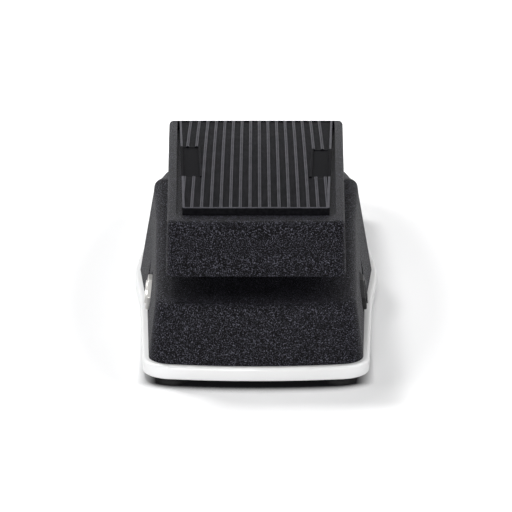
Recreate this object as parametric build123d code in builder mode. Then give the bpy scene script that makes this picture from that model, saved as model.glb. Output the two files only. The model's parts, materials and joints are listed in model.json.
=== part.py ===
from build123d import *
import os
from math import atan, cos, degrees, pi, radians, sin, sqrt, tan

os.makedirs("parts", exist_ok=True)

# Frame: millimetres, X across the pedal, Y along it with the toe end at -Y, Z up from the floor.
# The origin is the middle of the footprint on the floor.

# ---- overall sizes -------------------------------------------------------------------------
overall_length = 252.0
overall_width = 101.6
wall = 3.0
running_clearance = 0.05  # radial, shaft in bore
seat_clearance = 0.05  # between two pieces of one body that seat on each other
hole_clearance = 0.15  # radial, a screw or a neck through a drilled hole
tip_room = 0.3  # left past the tip of a screw in a blind hole

# ---- feet and base tray --------------------------------------------------------------------
foot_height = 2.5
foot_radius = 6.5
foot_x = 33.0
foot_y = overall_length / 2 - 9.0
foot_web = 0.8  # rubber left under the screw head
foot_edge_radius = 0.5
foot_well_gap = 0.4  # rubber to screw head
foot_screw_radius = 2.0
foot_screw_bite = 5.0  # length of the screw inside the housing's post
foot_head_radius = 3.5
foot_head_height = 1.3
cross_drive_length = 3.6
cross_drive_width = 0.9
cross_drive_corner = 0.3
drive_depth = 0.8
tray_height = 5.5
tray_floor = 2.0
tray_edge_radius = 1.2
ledge = 2.2  # how far the tray stands out round the housing
shell_seat = 2.0  # tray rim inboard of the housing wall
corner_radius = 12.0
end_bulge = 4.0  # how far the ends bow out
tray_top = foot_height + tray_height

# ---- housing -------------------------------------------------------------------------------
shell_half_width = overall_width / 2 - ledge  # at the widest, where the flank bulges peak
end_half_width = shell_half_width - 6.8  # at the ends, at the bottom of the shell
knee_half_width = shell_half_width - 3.8  # where the flank bulges begin
flank_half_width = shell_half_width - 2.9  # the bulge itself at that station
waist_half_width = shell_half_width - 1.7  # the wall inside the bulge, at the middle
flank_reach = 34.0  # the bulges run this far each way from the middle
flank_step_top = 41.0  # the bulge has faded into the wall by this height
shell_draft = 0.12
flank_draft = 0.173
ridge_height = 47.5
toe_slope = 0.1325
heel_slope = 0.2566
ridge_radius = 12.0
shell_edge_radius = 3.5
bend_radius = 150.0  # at the knees and the waist of the plan
screw_post_radius = 4.5
screw_pad_radius = 5.5

# ---- treadle -------------------------------------------------------------------------------
treadle_toe = overall_length / 2 - 12.7  # from the middle, at the lowest level of the skirt
treadle_heel = overall_length / 2 - 12.6
treadle_toe_half = 35.4
treadle_heel_half = 39.0
treadle_draft = 1.7
treadle_corner = 5.0
treadle_edge_radius = 2.0
treadle_lip_radius = 1.0
skirt_thickness = 3.2
plate_thickness = 3.0
skirt_toe_height = 41.2
skirt_middle_height = 49.2
skirt_heel_height = 31.0
crown_radius = 1920.0
rim_height = 56.5  # crown of the rim at the middle of the pedal
rim_slope = 0.0902
heel_roll_start = treadle_heel - 9.9
heel_roll_radius = 9.0

# ---- rubber tread pad ----------------------------------------------------------------------
pad_top_height = 58.0  # crown of the pad at the middle of the pedal
pad_slope = 0.105
pad_thickness = 4.0
pad_corner = 1.5
pad_gap_toe = 2.4  # recess wall to pad, at the toe and at the heel
pad_gap_heel = 0.9
pad_end_gap = 0.6
rim_toe_width = 4.3  # rim of the treadle beside the recess, at the toe and at the heel
rim_heel_width = 4.1
rim_toe_length = 10.5  # flat of the treadle before and after the recess
rim_heel_length = 7.8
pad_toe = treadle_toe - rim_toe_length - pad_end_gap
pad_heel = treadle_heel - rim_heel_length - pad_end_gap
pad_toe_half = treadle_toe_half - rim_toe_width - pad_gap_toe
pad_heel_half = treadle_heel_half - rim_heel_width - pad_gap_heel

# ---- pivot ---------------------------------------------------------------------------------
pivot_height = 38.0
toe_down = 4.0  # treadle travel in degrees each way from rest
heel_down = 5.0
shaft_radius = 3.0
lug_inner = 12.6
lug_thickness = 6.0
lug_radius = 6.5
bushing_wall = 1.5
bushing_flange = 1.0
bushing_flange_radius = 6.2
washer_thickness = 0.8
washer_radius = 6.0
block_width = 8.0
block_half_length = 12.0
cap_height = 6.0
cap_screw_offset = 8.5
hex_across_flats = 10.0
hex_height = 4.0
screw_radius = 1.5
screw_head_radius = 2.75
screw_head_height = 1.6
hex_drive_radius = 1.2
cap_screw_grip = 4.5  # length of the cap screws above the shaft's axis
cap_corner = 1.5
washer_play = 0.1
shaft_tip = 1.0  # shaft left past its nut
shaft_chamfer = 0.5
lug_slot_gap = 0.8  # roof slot to lug, sideways
lug_slot_reach = 2.6  # and along the pedal

# ---- bumpers -------------------------------------------------------------------------------
bumper_x = 20.0
toe_bumper_y = overall_length / 2 - 42.0
heel_bumper_y = overall_length / 2 - 38.0
bumper_radius = 6.5
bumper_stem_radius = 2.0
bumper_gap = 0.7  # left at the end of the travel
bumper_edge_radius = 1.0
stop_boss_radius = 5.0
toe_stop_height = 49.0
heel_stop_height = 37.5

# ---- rack and pinion -----------------------------------------------------------------------
rack_arm = overall_length / 2 - 48.3  # pivot to rack pin along the pedal
rack_pin_height = 48.0
rack_pin_radius = 1.5
rack_pin_length = 16.4
rack_half_width = 3.0
rack_bar = 4.0
rack_bottom = 11.0
rack_eye_wall = 2.0
rack_slot_half = 1.4  # how far the pin may slide in the slotted eye
rack_slot_clearance = 0.12
rack_opening_gap = 1.0  # roof slot to rack, sideways
rack_opening_reach = 2.3  # and along the pedal
rack_spare = 3.5  # toothed length past the travel, each way
rack_pin_chamfer = 0.3
ear_gap = 0.4
ear_thickness = 3.0
ear_radius = 3.6
clip_thickness = 0.7
clip_radius = 3.0
gear_module = 0.8
pinion_teeth = 14
pressure_angle = 20.0
rack_addendum = 0.6
dedendum = 1.0
backlash = 0.12
pinion_height = 22.0
pinion_half_width = 3.0
pinion_hub_length = 5.0
pinion_hub_radius = 5.2
set_screw_radius = 1.2
set_screw_recess = 0.2
set_screw_socket = 0.65
set_screw_socket_depth = 1.0

# ---- potentiometer and its bracket ---------------------------------------------------------
pot_radius = 8.0
pot_depth = 8.9
pot_can = 0.6
pot_shaft_radius = 3.0
pot_neck_radius = 3.5
pot_nut_flats = 10.0
pot_nut_height = 2.0
pot_washer_radius = 5.6
pot_washer_thickness = 0.5
can_edge_radius = 0.8
neck_proud = 0.6
neck_flange_reach = 1.5
neck_flange_thickness = 0.6
rotor_radius = 5.0
rotor_place = 3.0  # behind the front of the can
rotor_thickness = 1.5
bracket_thickness = 1.5
bracket_face = 6.1  # side of the bracket that faces the pinion
bracket_bottom = 13.0
bracket_top = 30.0
bracket_toe_reach = 14.7  # from the potentiometer's axis
bracket_heel_reach = 17.8
ear_length = 6.0
ear_reach = 9.4
bracket_screw_x = 12.3
bracket_screw_tip = 33.0
bracket_post_radius = 3.1
bracket_chamfer = 6.0
wafer_place = 1.0  # behind the front of the can
wafer_lap = 3.0  # how far the wafer reaches up beside the can
wafer_thickness = 1.2
wafer_half = 7.0
wafer_drop = 12.2
terminal_pitch = 5.0
terminal_half = 1.2
terminal_thickness = 0.5
terminal_bottom = 7.2
terminal_height = 5.4
terminal_corner = 0.5
terminal_hole_radius = 0.4
terminal_hole_rise = 0.9
guide_screw_bite = 9.8
guide_half = 6.1
guide_depth = 8.4
guide_back = 5.0
guide_bottom = 13.5
guide_top = 28.5

# ---- jacks ---------------------------------------------------------------------------------
jack_y = overall_length / 2 - 68.0
jack_height = 17.0
jack_neck_radius = 4.75
jack_bore_radius = 3.25
jack_neck_proud = 2.6
jack_washer_radius = 7.0
jack_washer_thickness = 0.4
jack_nut_flats = 12.7
jack_nut_height = 1.6
jack_nut_chamfer = 0.4
spotface_radius = 8.6
spotface_depth = 0.6
fibre_thickness = 0.8
jack_flange_thickness = 1.2
jack_flange_half = 7.0
jack_arm_half = 6.0
jack_arm_offset = 8.5
jack_arm_end = 24.0
jack_lug_end = 27.0
jack_lug_half = 2.0
stack_front = 12.5
stack_back = 20.5
stack_half = 5.0
leaf_thickness = 0.5
leaf_half = 2.2
leaf_height = 5.45
leaf_end = 30.0
leaf_hook_drop = 3.2  # the leaf's end turns down this far and comes back up by half
leaf_hook_reach = 1.0
leaf_hook_return = 3.0
leaf_bend = 0.9
stack_under = 1.55  # insulation under the leaf
rivet_radius = 1.2
rivet_head_radius = 2.0
rivet_head_height = 0.45
tag_reach = 8.0
tag_half = 1.2
tag_hole_radius = 0.5
tag_hole_inset = 1.0
tag_lap = 0.5  # how far the tag overlaps the leaf

# ---- wires ---------------------------------------------------------------------------------
wire_radius = 0.6
wire_bend = 3.5


def save(piece, label):
    """Label one finished piece and write its STEP file."""
    piece.part.label = label
    export_step(piece.part, f"parts/{label}.step")


def roof_height(y):
    """Height of the housing's roof at station y."""
    return ridge_height - (heel_slope * y if y > 0 else -toe_slope * y)


def crown_centre(height, slope):
    """Centre, as (Y, Z), of a crown arc with this height and fall at the middle of the pedal."""
    run = crown_radius * slope / sqrt(1 + slope**2)
    return -run, height - sqrt(crown_radius**2 - run**2)


def crown_point(height, slope, y, drop=0.0):
    """Point of the crown arc at station y, lowered by drop along its radius."""
    centre_y, centre_z = crown_centre(height, slope)
    return y, centre_z + sqrt((crown_radius - drop) ** 2 - (y - centre_y) ** 2)


def turned(y, z, angle):
    """Where a treadle point goes when the treadle turns by angle about the pivot."""
    rise = z - pivot_height
    turn = radians(angle)
    return y * cos(turn) - rise * sin(turn), pivot_height + y * sin(turn) + rise * cos(turn)


def rounded_off(slope):
    """How much the bend radius takes off a waist whose sides fall away at this slope."""
    return bend_radius * (1 / cos(atan(slope)) - 1)


def plan_outline(plane, end_half, knee_half, waist_half, end_y, radius):
    """Coffin-shaped plan: straight sides that widen to a knee and a waist, and bowed ends."""
    corner_y = end_y - end_bulge
    waist_point = waist_half + rounded_off((waist_half - knee_half) / flank_reach)
    right = [
        (end_half, -corner_y),
        (knee_half, -flank_reach),
        (waist_point, 0),
        (knee_half, flank_reach),
        (end_half, corner_y),
    ]
    left = [(-x, y) for x, y in reversed(right)]
    with BuildSketch(plane) as outline:
        with BuildLine():
            Polyline(*right)
            ThreePointArc(right[-1], (0, end_y), left[0])
            Polyline(*left)
            ThreePointArc(left[-1], (0, -end_y), right[0])
        make_face()
        ends = outline.vertices().sort_by(Axis.Y)
        fillet(ends[:2] + ends[-2:], radius=radius)
        bends = outline.vertices().filter_by(lambda v: abs(v.Y) < flank_reach + 1)
        fillet(bends, radius=bend_radius)
    return outline.sketch


def roof_side(inset):
    """Side profile under the roof: it slopes down both ways from a round ridge."""
    reach = overall_length / 2
    with BuildSketch(Plane.YZ) as side:
        with BuildLine():
            Polyline(
                (-reach, 0),
                (-reach, roof_height(-reach) - inset),
                (0, ridge_height - inset),
                (reach, roof_height(reach) - inset),
                (reach, 0),
                close=True,
            )
        make_face()
        fillet(side.vertices().sort_by(Axis.Y)[2], radius=ridge_radius - inset)
    return side.sketch


def shell_form(inset):
    """The housing's drafted wall and sloping roof as a solid, set in by inset all round."""
    outline = plan_outline(
        Plane.XY.offset(tray_top),
        end_half_width - inset,
        knee_half_width - inset,
        waist_half_width - inset,
        overall_length / 2 - ledge - inset,
        corner_radius - ledge - inset,
    )
    with BuildPart() as form:
        extrude(outline, amount=ridge_height, taper=degrees(atan(shell_draft)))
        extrude(roof_side(inset), amount=overall_width, both=True, mode=Mode.INTERSECT)
    return form.part


def flank_outline(height):
    """Plan of the two flank bulges at a height, drawn as one hexagon across the pedal."""
    lean = flank_draft * (height - tray_top)
    knee = flank_half_width - lean
    waist = overall_width / 2 - ledge - lean
    with BuildSketch(Plane.XY.offset(height)) as outline:
        with BuildLine():
            Polyline(
                (knee, -flank_reach),
                (waist, 0),
                (knee, flank_reach),
                (-knee, flank_reach),
                (-waist, 0),
                (-knee, -flank_reach),
                close=True,
            )
        make_face()
    return outline.sketch


def treadle_plan(plane, toe_half, heel_half, toe_y, heel_y, radius):
    """Plan that widens evenly from the toe to the heel, with round corners."""
    with BuildSketch(plane) as plan:
        with BuildLine():
            Polyline(
                (-toe_half, -toe_y),
                (toe_half, -toe_y),
                (heel_half, heel_y),
                (-heel_half, heel_y),
                close=True,
            )
        make_face()
        fillet(plan.vertices(), radius=radius)
    return plan.sketch


def under_crown(height, slope, drop, floor):
    """Side profile of everything between a floor level and a lowered crown arc."""
    reach = overall_length / 2
    toe = crown_point(height, slope, -reach, drop)
    middle = crown_point(height, slope, 0, drop)
    heel = crown_point(height, slope, reach, drop)
    with BuildSketch(Plane.YZ) as profile:
        with BuildLine():
            ThreePointArc(toe, middle, heel)
            Polyline(heel, (reach, floor), (-reach, floor), toe)
        make_face()
    return profile.sketch


# ---- base tray -----------------------------------------------------------------------------
tray_outline = plan_outline(
    Plane.XY.offset(foot_height),
    end_half_width + ledge,
    flank_half_width + ledge,
    overall_width / 2,
    overall_length / 2,
    corner_radius,
)
rim_width = ledge + wall + shell_seat
pocket_outline = plan_outline(
    Plane.XY.offset(foot_height + tray_floor),
    end_half_width + ledge - rim_width,
    flank_half_width + ledge - rim_width,
    overall_width / 2 - rim_width,
    overall_length / 2 - rim_width,
    corner_radius - rim_width / 2,
)
foot_places = [
    ("toe_left", -foot_x, -foot_y),
    ("toe_right", foot_x, -foot_y),
    ("heel_left", -foot_x, foot_y),
    ("heel_right", foot_x, foot_y),
]
foot_points = [(x, y) for label, x, y in foot_places]
foot_screw_tip = tray_top + foot_screw_bite
foot_head_top = foot_height - foot_web

with BuildPart() as base_tray:
    extrude(tray_outline, amount=tray_height)
    fillet(base_tray.faces().sort_by(Axis.Z)[-1].edges(), radius=tray_edge_radius)
    fillet(base_tray.faces().sort_by(Axis.Z)[0].edges(), radius=tray_edge_radius / 2)
    extrude(pocket_outline, amount=tray_height, mode=Mode.SUBTRACT)
    with BuildSketch(Plane.XY.offset(foot_height + tray_floor)) as screw_pads:
        with Locations(*foot_points):
            Circle(screw_pad_radius)
    extrude(screw_pads.sketch, amount=tray_height - tray_floor)
    with Locations(*[(x, y, tray_top) for x, y in foot_points]):
        Hole(foot_screw_radius + hole_clearance)
save(base_tray, "base_tray")

# ---- feet and their screws -----------------------------------------------------------------
for label, x, y in foot_places:
    with BuildPart() as rubber_foot:
        with BuildSketch(Plane.XY) as tread:
            with Locations((x, y)):
                Circle(foot_radius)
        extrude(tread.sketch, amount=foot_height)
        fillet(rubber_foot.edges().sort_by(Axis.Z)[0], radius=foot_edge_radius)
        with BuildSketch(Plane.XY) as head_well:
            with Locations((x, y)):
                Circle(foot_head_radius + foot_well_gap)
        extrude(head_well.sketch, amount=foot_head_top, mode=Mode.SUBTRACT)
        with BuildSketch(Plane.XY) as shank_hole:
            with Locations((x, y)):
                Circle(foot_screw_radius + hole_clearance)
        extrude(shank_hole.sketch, amount=foot_height, mode=Mode.SUBTRACT)
    save(rubber_foot, f"foot_{label}")

with BuildPart() as foot_screws:
    with BuildSketch(Plane.XY.offset(foot_head_top - foot_head_height)) as heads:
        with Locations(*foot_points):
            Circle(foot_head_radius)
    extrude(heads.sketch, amount=foot_head_height - seat_clearance)
    with BuildSketch(Plane.XY.offset(foot_head_top - foot_head_height)) as shanks:
        with Locations(*foot_points):
            Circle(foot_screw_radius)
    extrude(shanks.sketch, amount=foot_screw_tip - foot_head_top + foot_head_height)
    with BuildSketch(Plane.XY.offset(foot_head_top - foot_head_height)) as drive:
        with Locations(*foot_points):
            RectangleRounded(cross_drive_length, cross_drive_width, cross_drive_corner)
            RectangleRounded(cross_drive_width, cross_drive_length, cross_drive_corner)
    extrude(drive.sketch, amount=drive_depth, mode=Mode.SUBTRACT)
save(foot_screws, "foot_screws")

# ---- places that several pieces share ------------------------------------------------------
lug_outer = lug_inner + lug_thickness
block_inner = lug_outer + bushing_flange + washer_thickness + 2 * washer_play
block_outer = block_inner + block_width
rack_pitch_y = -rack_arm - rack_bar / 2 - dedendum
rack_back_y = rack_pitch_y + dedendum + rack_bar
rack_opening_width = 2 * (rack_half_width + rack_opening_gap)
rack_opening_length = rack_bar + dedendum + 2 * rack_opening_reach
pitch_radius = gear_module * pinion_teeth / 2
pinion_y = rack_pitch_y - pitch_radius
bracket_back = bracket_face + bracket_thickness
bracket_toe_y = pinion_y - bracket_toe_reach
bracket_heel_y = pinion_y + bracket_heel_reach
bracket_screw_y = (bracket_toe_y + ear_length / 2, bracket_heel_y - ear_length / 2)

# The wall that carries a jack: its normal leans up by the draft and round by the widening.
widening = (knee_half_width - end_half_width) / (overall_length / 2 - ledge - end_bulge - flank_reach)
wall_normal = (
    cos(atan(widening)) * cos(atan(shell_draft)),
    -sin(atan(widening)) * cos(atan(shell_draft)),
    sin(atan(shell_draft)),
)
jack_x = (
    knee_half_width
    - widening * (jack_y - flank_reach)
    - shell_draft * (jack_height - tray_top) / cos(atan(widening))
)


def jack_plane(side):
    """Seat of the jack's nut on one side wall: local Z points out, local Y up, side is 1 or -1."""
    surface = Vector(side * jack_x, -jack_y, jack_height)
    normal = Vector(side * wall_normal[0], wall_normal[1], wall_normal[2])
    return Plane(
        origin=surface - normal * spotface_depth,
        x_dir=(0, side, 0),
        z_dir=normal,
    )


def bumper_plane(x, y):
    """Plane on the roof's surface under a bumper."""
    slope = heel_slope if y > 0 else -toe_slope
    return Plane(origin=(x, y, roof_height(y)), x_dir=(1, 0, 0), z_dir=(0, slope, 1))


# ---- housing -------------------------------------------------------------------------------
bumper_places = [
    ("toe_left", -bumper_x, -toe_bumper_y),
    ("toe_right", bumper_x, -toe_bumper_y),
    ("heel_left", -bumper_x, heel_bumper_y),
    ("heel_right", bumper_x, heel_bumper_y),
]

with BuildPart() as posts:
    with BuildSketch(Plane.XY.offset(tray_top)) as foot_posts:
        with Locations(*foot_points):
            Circle(screw_post_radius)
    extrude(foot_posts.sketch, amount=ridge_height)
    with BuildSketch(Plane.XY.offset(pivot_height)) as blocks:
        with Locations((block_inner + block_width / 2, 0), (-block_inner - block_width / 2, 0)):
            Rectangle(block_width, 2 * block_half_length)
    extrude(blocks.sketch, amount=ridge_height)
    with BuildSketch(Plane.XY.offset(bracket_top)) as bracket_posts:
        with Locations(*[(bracket_screw_x, y) for y in bracket_screw_y]):
            Circle(bracket_post_radius)
    extrude(bracket_posts.sketch, amount=ridge_height)
    add(shell_form(wall / 2), mode=Mode.INTERSECT)

with BuildPart() as housing:
    add(shell_form(0))
    roof_faces = housing.faces().filter_by(lambda f: f.normal_at().Z > 0.9)
    roof_rim = roof_faces.edges() - roof_faces.edges().filter_by(Axis.X)
    fillet(roof_rim, radius=shell_edge_radius)
    with BuildPart(mode=Mode.PRIVATE) as flanks:
        loft([flank_outline(tray_top), flank_outline(flank_step_top)])
        extrude(
            roof_side(shell_edge_radius), amount=overall_width, both=True, mode=Mode.INTERSECT
        )
    add(flanks.part)
    add(shell_form(wall), mode=Mode.SUBTRACT)
    add(posts.part)
    # slots in the roof for the treadle's lugs and for the rack
    with BuildSketch(Plane.XY.offset(pivot_height)) as roof_slots:
        for side in (-1, 1):
            with Locations((side * (lug_inner + lug_outer) / 2, 0)):
                Rectangle(lug_thickness + 2 * lug_slot_gap, 2 * (lug_radius + lug_slot_reach))
        with Locations((0, (rack_pitch_y + rack_back_y) / 2)):
            Rectangle(rack_opening_width, rack_opening_length)
    extrude(roof_slots.sketch, amount=ridge_height, mode=Mode.SUBTRACT)
    with BuildSketch(Plane.XY.offset(bracket_bottom)) as rack_slot:
        with Locations((0, (rack_pitch_y + rack_back_y) / 2)):
            Rectangle(rack_opening_width, rack_opening_length)
    extrude(rack_slot.sketch, amount=ridge_height, mode=Mode.SUBTRACT)
    # room for the friction washers and the bushings' flanges under the roof
    for start in (lug_outer, -block_inner):
        with BuildSketch(Plane.YZ.offset(start)) as washer_room:
            with Locations((0, pivot_height)):
                Circle(bushing_flange_radius + washer_play)
        extrude(washer_room.sketch, amount=block_inner - lug_outer, mode=Mode.SUBTRACT)
    # seat of the pivot shaft
    with BuildSketch(Plane.YZ) as shaft_seat:
        with Locations((0, pivot_height)):
            Circle(shaft_radius + running_clearance)
    extrude(shaft_seat.sketch, amount=block_outer + 1, both=True, mode=Mode.SUBTRACT)
    # screw holes: bearing caps, bracket, feet
    with BuildSketch(Plane.XY.offset(pivot_height)) as cap_holes:
        for side in (-1, 1):
            with Locations(
                (side * (block_inner + block_width / 2), cap_screw_offset),
                (side * (block_inner + block_width / 2), -cap_screw_offset),
            ):
                Circle(screw_radius + seat_clearance)
    extrude(cap_holes.sketch, amount=cap_screw_grip + tip_room, mode=Mode.SUBTRACT)
    with BuildSketch(Plane.XY.offset(bracket_top)) as bracket_holes:
        with Locations(*[(bracket_screw_x, y) for y in bracket_screw_y]):
            Circle(screw_radius + seat_clearance)
    extrude(bracket_holes.sketch, amount=bracket_screw_tip + tip_room - bracket_top, mode=Mode.SUBTRACT)
    with BuildSketch(Plane.XY.offset(tray_top)) as foot_holes:
        with Locations(*foot_points):
            Circle(foot_screw_radius + seat_clearance)
    extrude(foot_holes.sketch, amount=foot_screw_bite + tip_room, mode=Mode.SUBTRACT)
    # bumper stems
    for label, x, y in bumper_places:
        with BuildSketch(bumper_plane(x, y).offset(-2 * wall)) as stem_hole:
            Circle(bumper_stem_radius + running_clearance)
        extrude(stem_hole.sketch, amount=4 * wall, mode=Mode.SUBTRACT)
    # jack holes with a spot face outside
    for side in (-1, 1):
        with BuildSketch(jack_plane(side)) as spotface:
            Circle(spotface_radius)
        extrude(spotface.sketch, amount=2 * wall, mode=Mode.SUBTRACT)
        with BuildSketch(jack_plane(side).offset(-2 * wall)) as jack_hole:
            Circle(jack_neck_radius + hole_clearance)
        extrude(jack_hole.sketch, amount=4 * wall, mode=Mode.SUBTRACT)
save(housing, "housing")

# ---- treadle -------------------------------------------------------------------------------
skirt_base = Plane.XY.offset(skirt_heel_height)
treadle_outline = treadle_plan(
    skirt_base, treadle_toe_half, treadle_heel_half, treadle_toe, treadle_heel, treadle_corner
)
hollow_outline = treadle_plan(
    skirt_base,
    treadle_toe_half - skirt_thickness,
    treadle_heel_half - skirt_thickness,
    treadle_toe - skirt_thickness,
    treadle_heel - skirt_thickness,
    treadle_corner - skirt_thickness / 2,
)
recess_outline = treadle_plan(
    skirt_base,
    pad_toe_half + pad_gap_toe,
    pad_heel_half + pad_gap_heel,
    pad_toe + pad_end_gap,
    pad_heel + pad_end_gap,
    pad_corner + pad_gap_heel,
)
pad_outline = treadle_plan(
    skirt_base, pad_toe_half, pad_heel_half, pad_toe, pad_heel, pad_corner
)
floor_drop = pad_thickness + seat_clearance
plate_drop = floor_drop + plate_thickness
treadle_height = 2 * pad_thickness + rim_height


def plate_under(y):
    """A height inside the treadle's top plate at station y."""
    return crown_point(pad_top_height, pad_slope, y, plate_drop - plate_thickness / 2)[1]


def treadle_side():
    """Side profile of the treadle casting: crowned top, rolled heel, skirt highest at the pivot."""
    reach = overall_length / 2
    toe = crown_point(rim_height, rim_slope, -reach)
    middle = crown_point(rim_height, rim_slope, 0)
    heel = crown_point(rim_height, rim_slope, heel_roll_start)
    with BuildSketch(Plane.YZ) as profile:
        with BuildLine():
            top = ThreePointArc(toe, middle, heel)
            fall = degrees(atan(-(top % 1).Y / (top % 1).X))
            roll = JernArc(heel, top % 1, heel_roll_radius, -(90 - fall))
            Polyline(
                roll @ 1,
                (roll @ 1) - Vector(0, (roll @ 1).Y - skirt_heel_height),
                (0, skirt_middle_height),
                (-treadle_toe, skirt_toe_height),
                (-reach, skirt_toe_height),
                toe,
            )
        make_face()
    return profile.sketch


def hanging_eye(plane, y, z, radius, bore):
    """Profile of a lug that hangs from the treadle's plate down to a round eye."""
    top = plate_under(y)
    with BuildSketch(plane) as eye:
        with Locations((y, z)):
            Circle(radius)
        with Locations((y, (z + top) / 2)):
            Rectangle(2 * radius, top - z)
        with Locations((y, z)):
            Circle(bore, mode=Mode.SUBTRACT)
    return eye.sketch


bushing_radius = shaft_radius + running_clearance + bushing_wall
ear_inner = rack_half_width + ear_gap

with BuildPart() as stops:
    for start in (lug_inner, -lug_outer):
        lug = hanging_eye(
            Plane.YZ.offset(start), 0, pivot_height, lug_radius, bushing_radius + seat_clearance / 2
        )
        extrude(lug, amount=lug_thickness)
    for start in (ear_inner, -ear_inner - ear_thickness):
        ear = hanging_eye(
            Plane.YZ.offset(start),
            -rack_arm,
            rack_pin_height,
            ear_radius,
            rack_pin_radius + seat_clearance / 2,
        )
        extrude(ear, amount=ear_thickness)
    for label, x, y in bumper_places:
        low = heel_stop_height if y > 0 else toe_stop_height
        with BuildSketch(Plane.XY.offset(low)) as stop_boss:
            with Locations((x, y)):
                Circle(stop_boss_radius)
        extrude(stop_boss.sketch, amount=plate_under(y) - low)

with BuildPart() as treadle:
    extrude(treadle_outline, amount=treadle_height, taper=treadle_draft)
    extrude(treadle_side(), amount=overall_width, both=True, mode=Mode.INTERSECT)
    top_faces = treadle.faces().filter_by(lambda f: f.normal_at().Z > 0.5)
    top_rim = top_faces.edges() - top_faces.edges().filter_by(Axis.X).sort_by(Axis.Y)[1:]
    fillet(top_rim, radius=treadle_edge_radius)
    with BuildPart(mode=Mode.PRIVATE) as recess:
        extrude(recess_outline, amount=treadle_height)
        extrude(
            under_crown(pad_top_height, pad_slope, floor_drop, 0),
            amount=overall_width,
            both=True,
            mode=Mode.SUBTRACT,
        )
    add(recess.part, mode=Mode.SUBTRACT)
    with BuildPart(mode=Mode.PRIVATE) as hollow:
        extrude(hollow_outline, amount=treadle_height, taper=treadle_draft)
        extrude(
            under_crown(pad_top_height, pad_slope, plate_drop, 0),
            amount=overall_width,
            both=True,
            mode=Mode.INTERSECT,
        )
    add(hollow.part, mode=Mode.SUBTRACT)
    add(stops.part)
save(treadle, "treadle")

# ---- tread pad -----------------------------------------------------------------------------
with BuildPart() as tread_pad:
    extrude(pad_outline, amount=treadle_height)
    extrude(
        under_crown(pad_top_height, pad_slope, 0, 0),
        amount=overall_width,
        both=True,
        mode=Mode.INTERSECT,
    )
    extrude(
        under_crown(pad_top_height, pad_slope, pad_thickness, 0),
        amount=overall_width,
        both=True,
        mode=Mode.SUBTRACT,
    )
save(tread_pad, "tread_pad")

# ---- pivot shaft, nut, bushings, washers and bearing caps ----------------------------------
head_start = block_outer + 2 * washer_play
with BuildPart() as pivot_shaft:
    with BuildSketch(Plane.YZ.offset(-head_start)) as shank:
        with Locations((0, pivot_height)):
            Circle(shaft_radius)
    extrude(shank.sketch, amount=2 * head_start + hex_height + shaft_tip)
    with BuildSketch(Plane.YZ.offset(-head_start - hex_height)) as shaft_head:
        with Locations((0, pivot_height)):
            RegularPolygon(hex_across_flats / 2, 6, major_radius=False)
    extrude(shaft_head.sketch, amount=hex_height)
    chamfer(pivot_shaft.edges().sort_by(Axis.X)[-1], length=shaft_chamfer)
save(pivot_shaft, "pivot_shaft")

with BuildPart() as pivot_nut:
    with BuildSketch(Plane.YZ.offset(head_start)) as nut_outline:
        with Locations((0, pivot_height)):
            RegularPolygon(hex_across_flats / 2, 6, major_radius=False)
            Circle(shaft_radius + seat_clearance, mode=Mode.SUBTRACT)
    extrude(nut_outline.sketch, amount=hex_height)
save(pivot_nut, "pivot_nut")

for label, side in (("left", -1), ("right", 1)):
    with BuildPart() as bushing:
        with BuildSketch(Plane.YZ.offset(side * lug_inner)) as tube:
            with Locations((0, pivot_height)):
                Circle(bushing_radius)
        extrude(tube.sketch, amount=side * lug_thickness)
        with BuildSketch(Plane.YZ.offset(side * lug_outer)) as flange:
            with Locations((0, pivot_height)):
                Circle(bushing_flange_radius)
        extrude(flange.sketch, amount=side * bushing_flange)
        with BuildSketch(Plane.YZ.offset(side * lug_inner)) as bushing_bore:
            with Locations((0, pivot_height)):
                Circle(shaft_radius + running_clearance)
        extrude(bushing_bore.sketch, amount=side * 2 * lug_thickness, mode=Mode.SUBTRACT)
    save(bushing, f"pivot_bushing_{label}")

    with BuildPart() as bearing_cap:
        with BuildSketch(Plane.XY.offset(pivot_height)) as cap_plan:
            with Locations((side * (block_inner + block_width / 2), 0)):
                RectangleRounded(block_width, 2 * block_half_length, cap_corner)
        extrude(cap_plan.sketch, amount=-cap_height)
        with BuildSketch(Plane.YZ) as cap_seat:
            with Locations((0, pivot_height)):
                Circle(shaft_radius + running_clearance)
        extrude(cap_seat.sketch, amount=2 * block_outer, both=True, mode=Mode.SUBTRACT)
        with BuildSketch(Plane.XY.offset(pivot_height)) as cap_bores:
            with Locations(
                (side * (block_inner + block_width / 2), cap_screw_offset),
                (side * (block_inner + block_width / 2), -cap_screw_offset),
            ):
                Circle(screw_radius + hole_clearance)
        extrude(cap_bores.sketch, amount=-cap_height, mode=Mode.SUBTRACT)
    save(bearing_cap, f"bearing_cap_{label}")

with BuildPart() as friction_washers:
    washer_start = lug_outer + bushing_flange + washer_play
    for start in (washer_start, -washer_start - washer_thickness):
        with BuildSketch(Plane.YZ.offset(start)) as washer_ring:
            with Locations((0, pivot_height)):
                Circle(washer_radius)
                Circle(shaft_radius + 2 * seat_clearance, mode=Mode.SUBTRACT)
        extrude(washer_ring.sketch, amount=washer_thickness)
save(friction_washers, "friction_washers")

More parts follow.
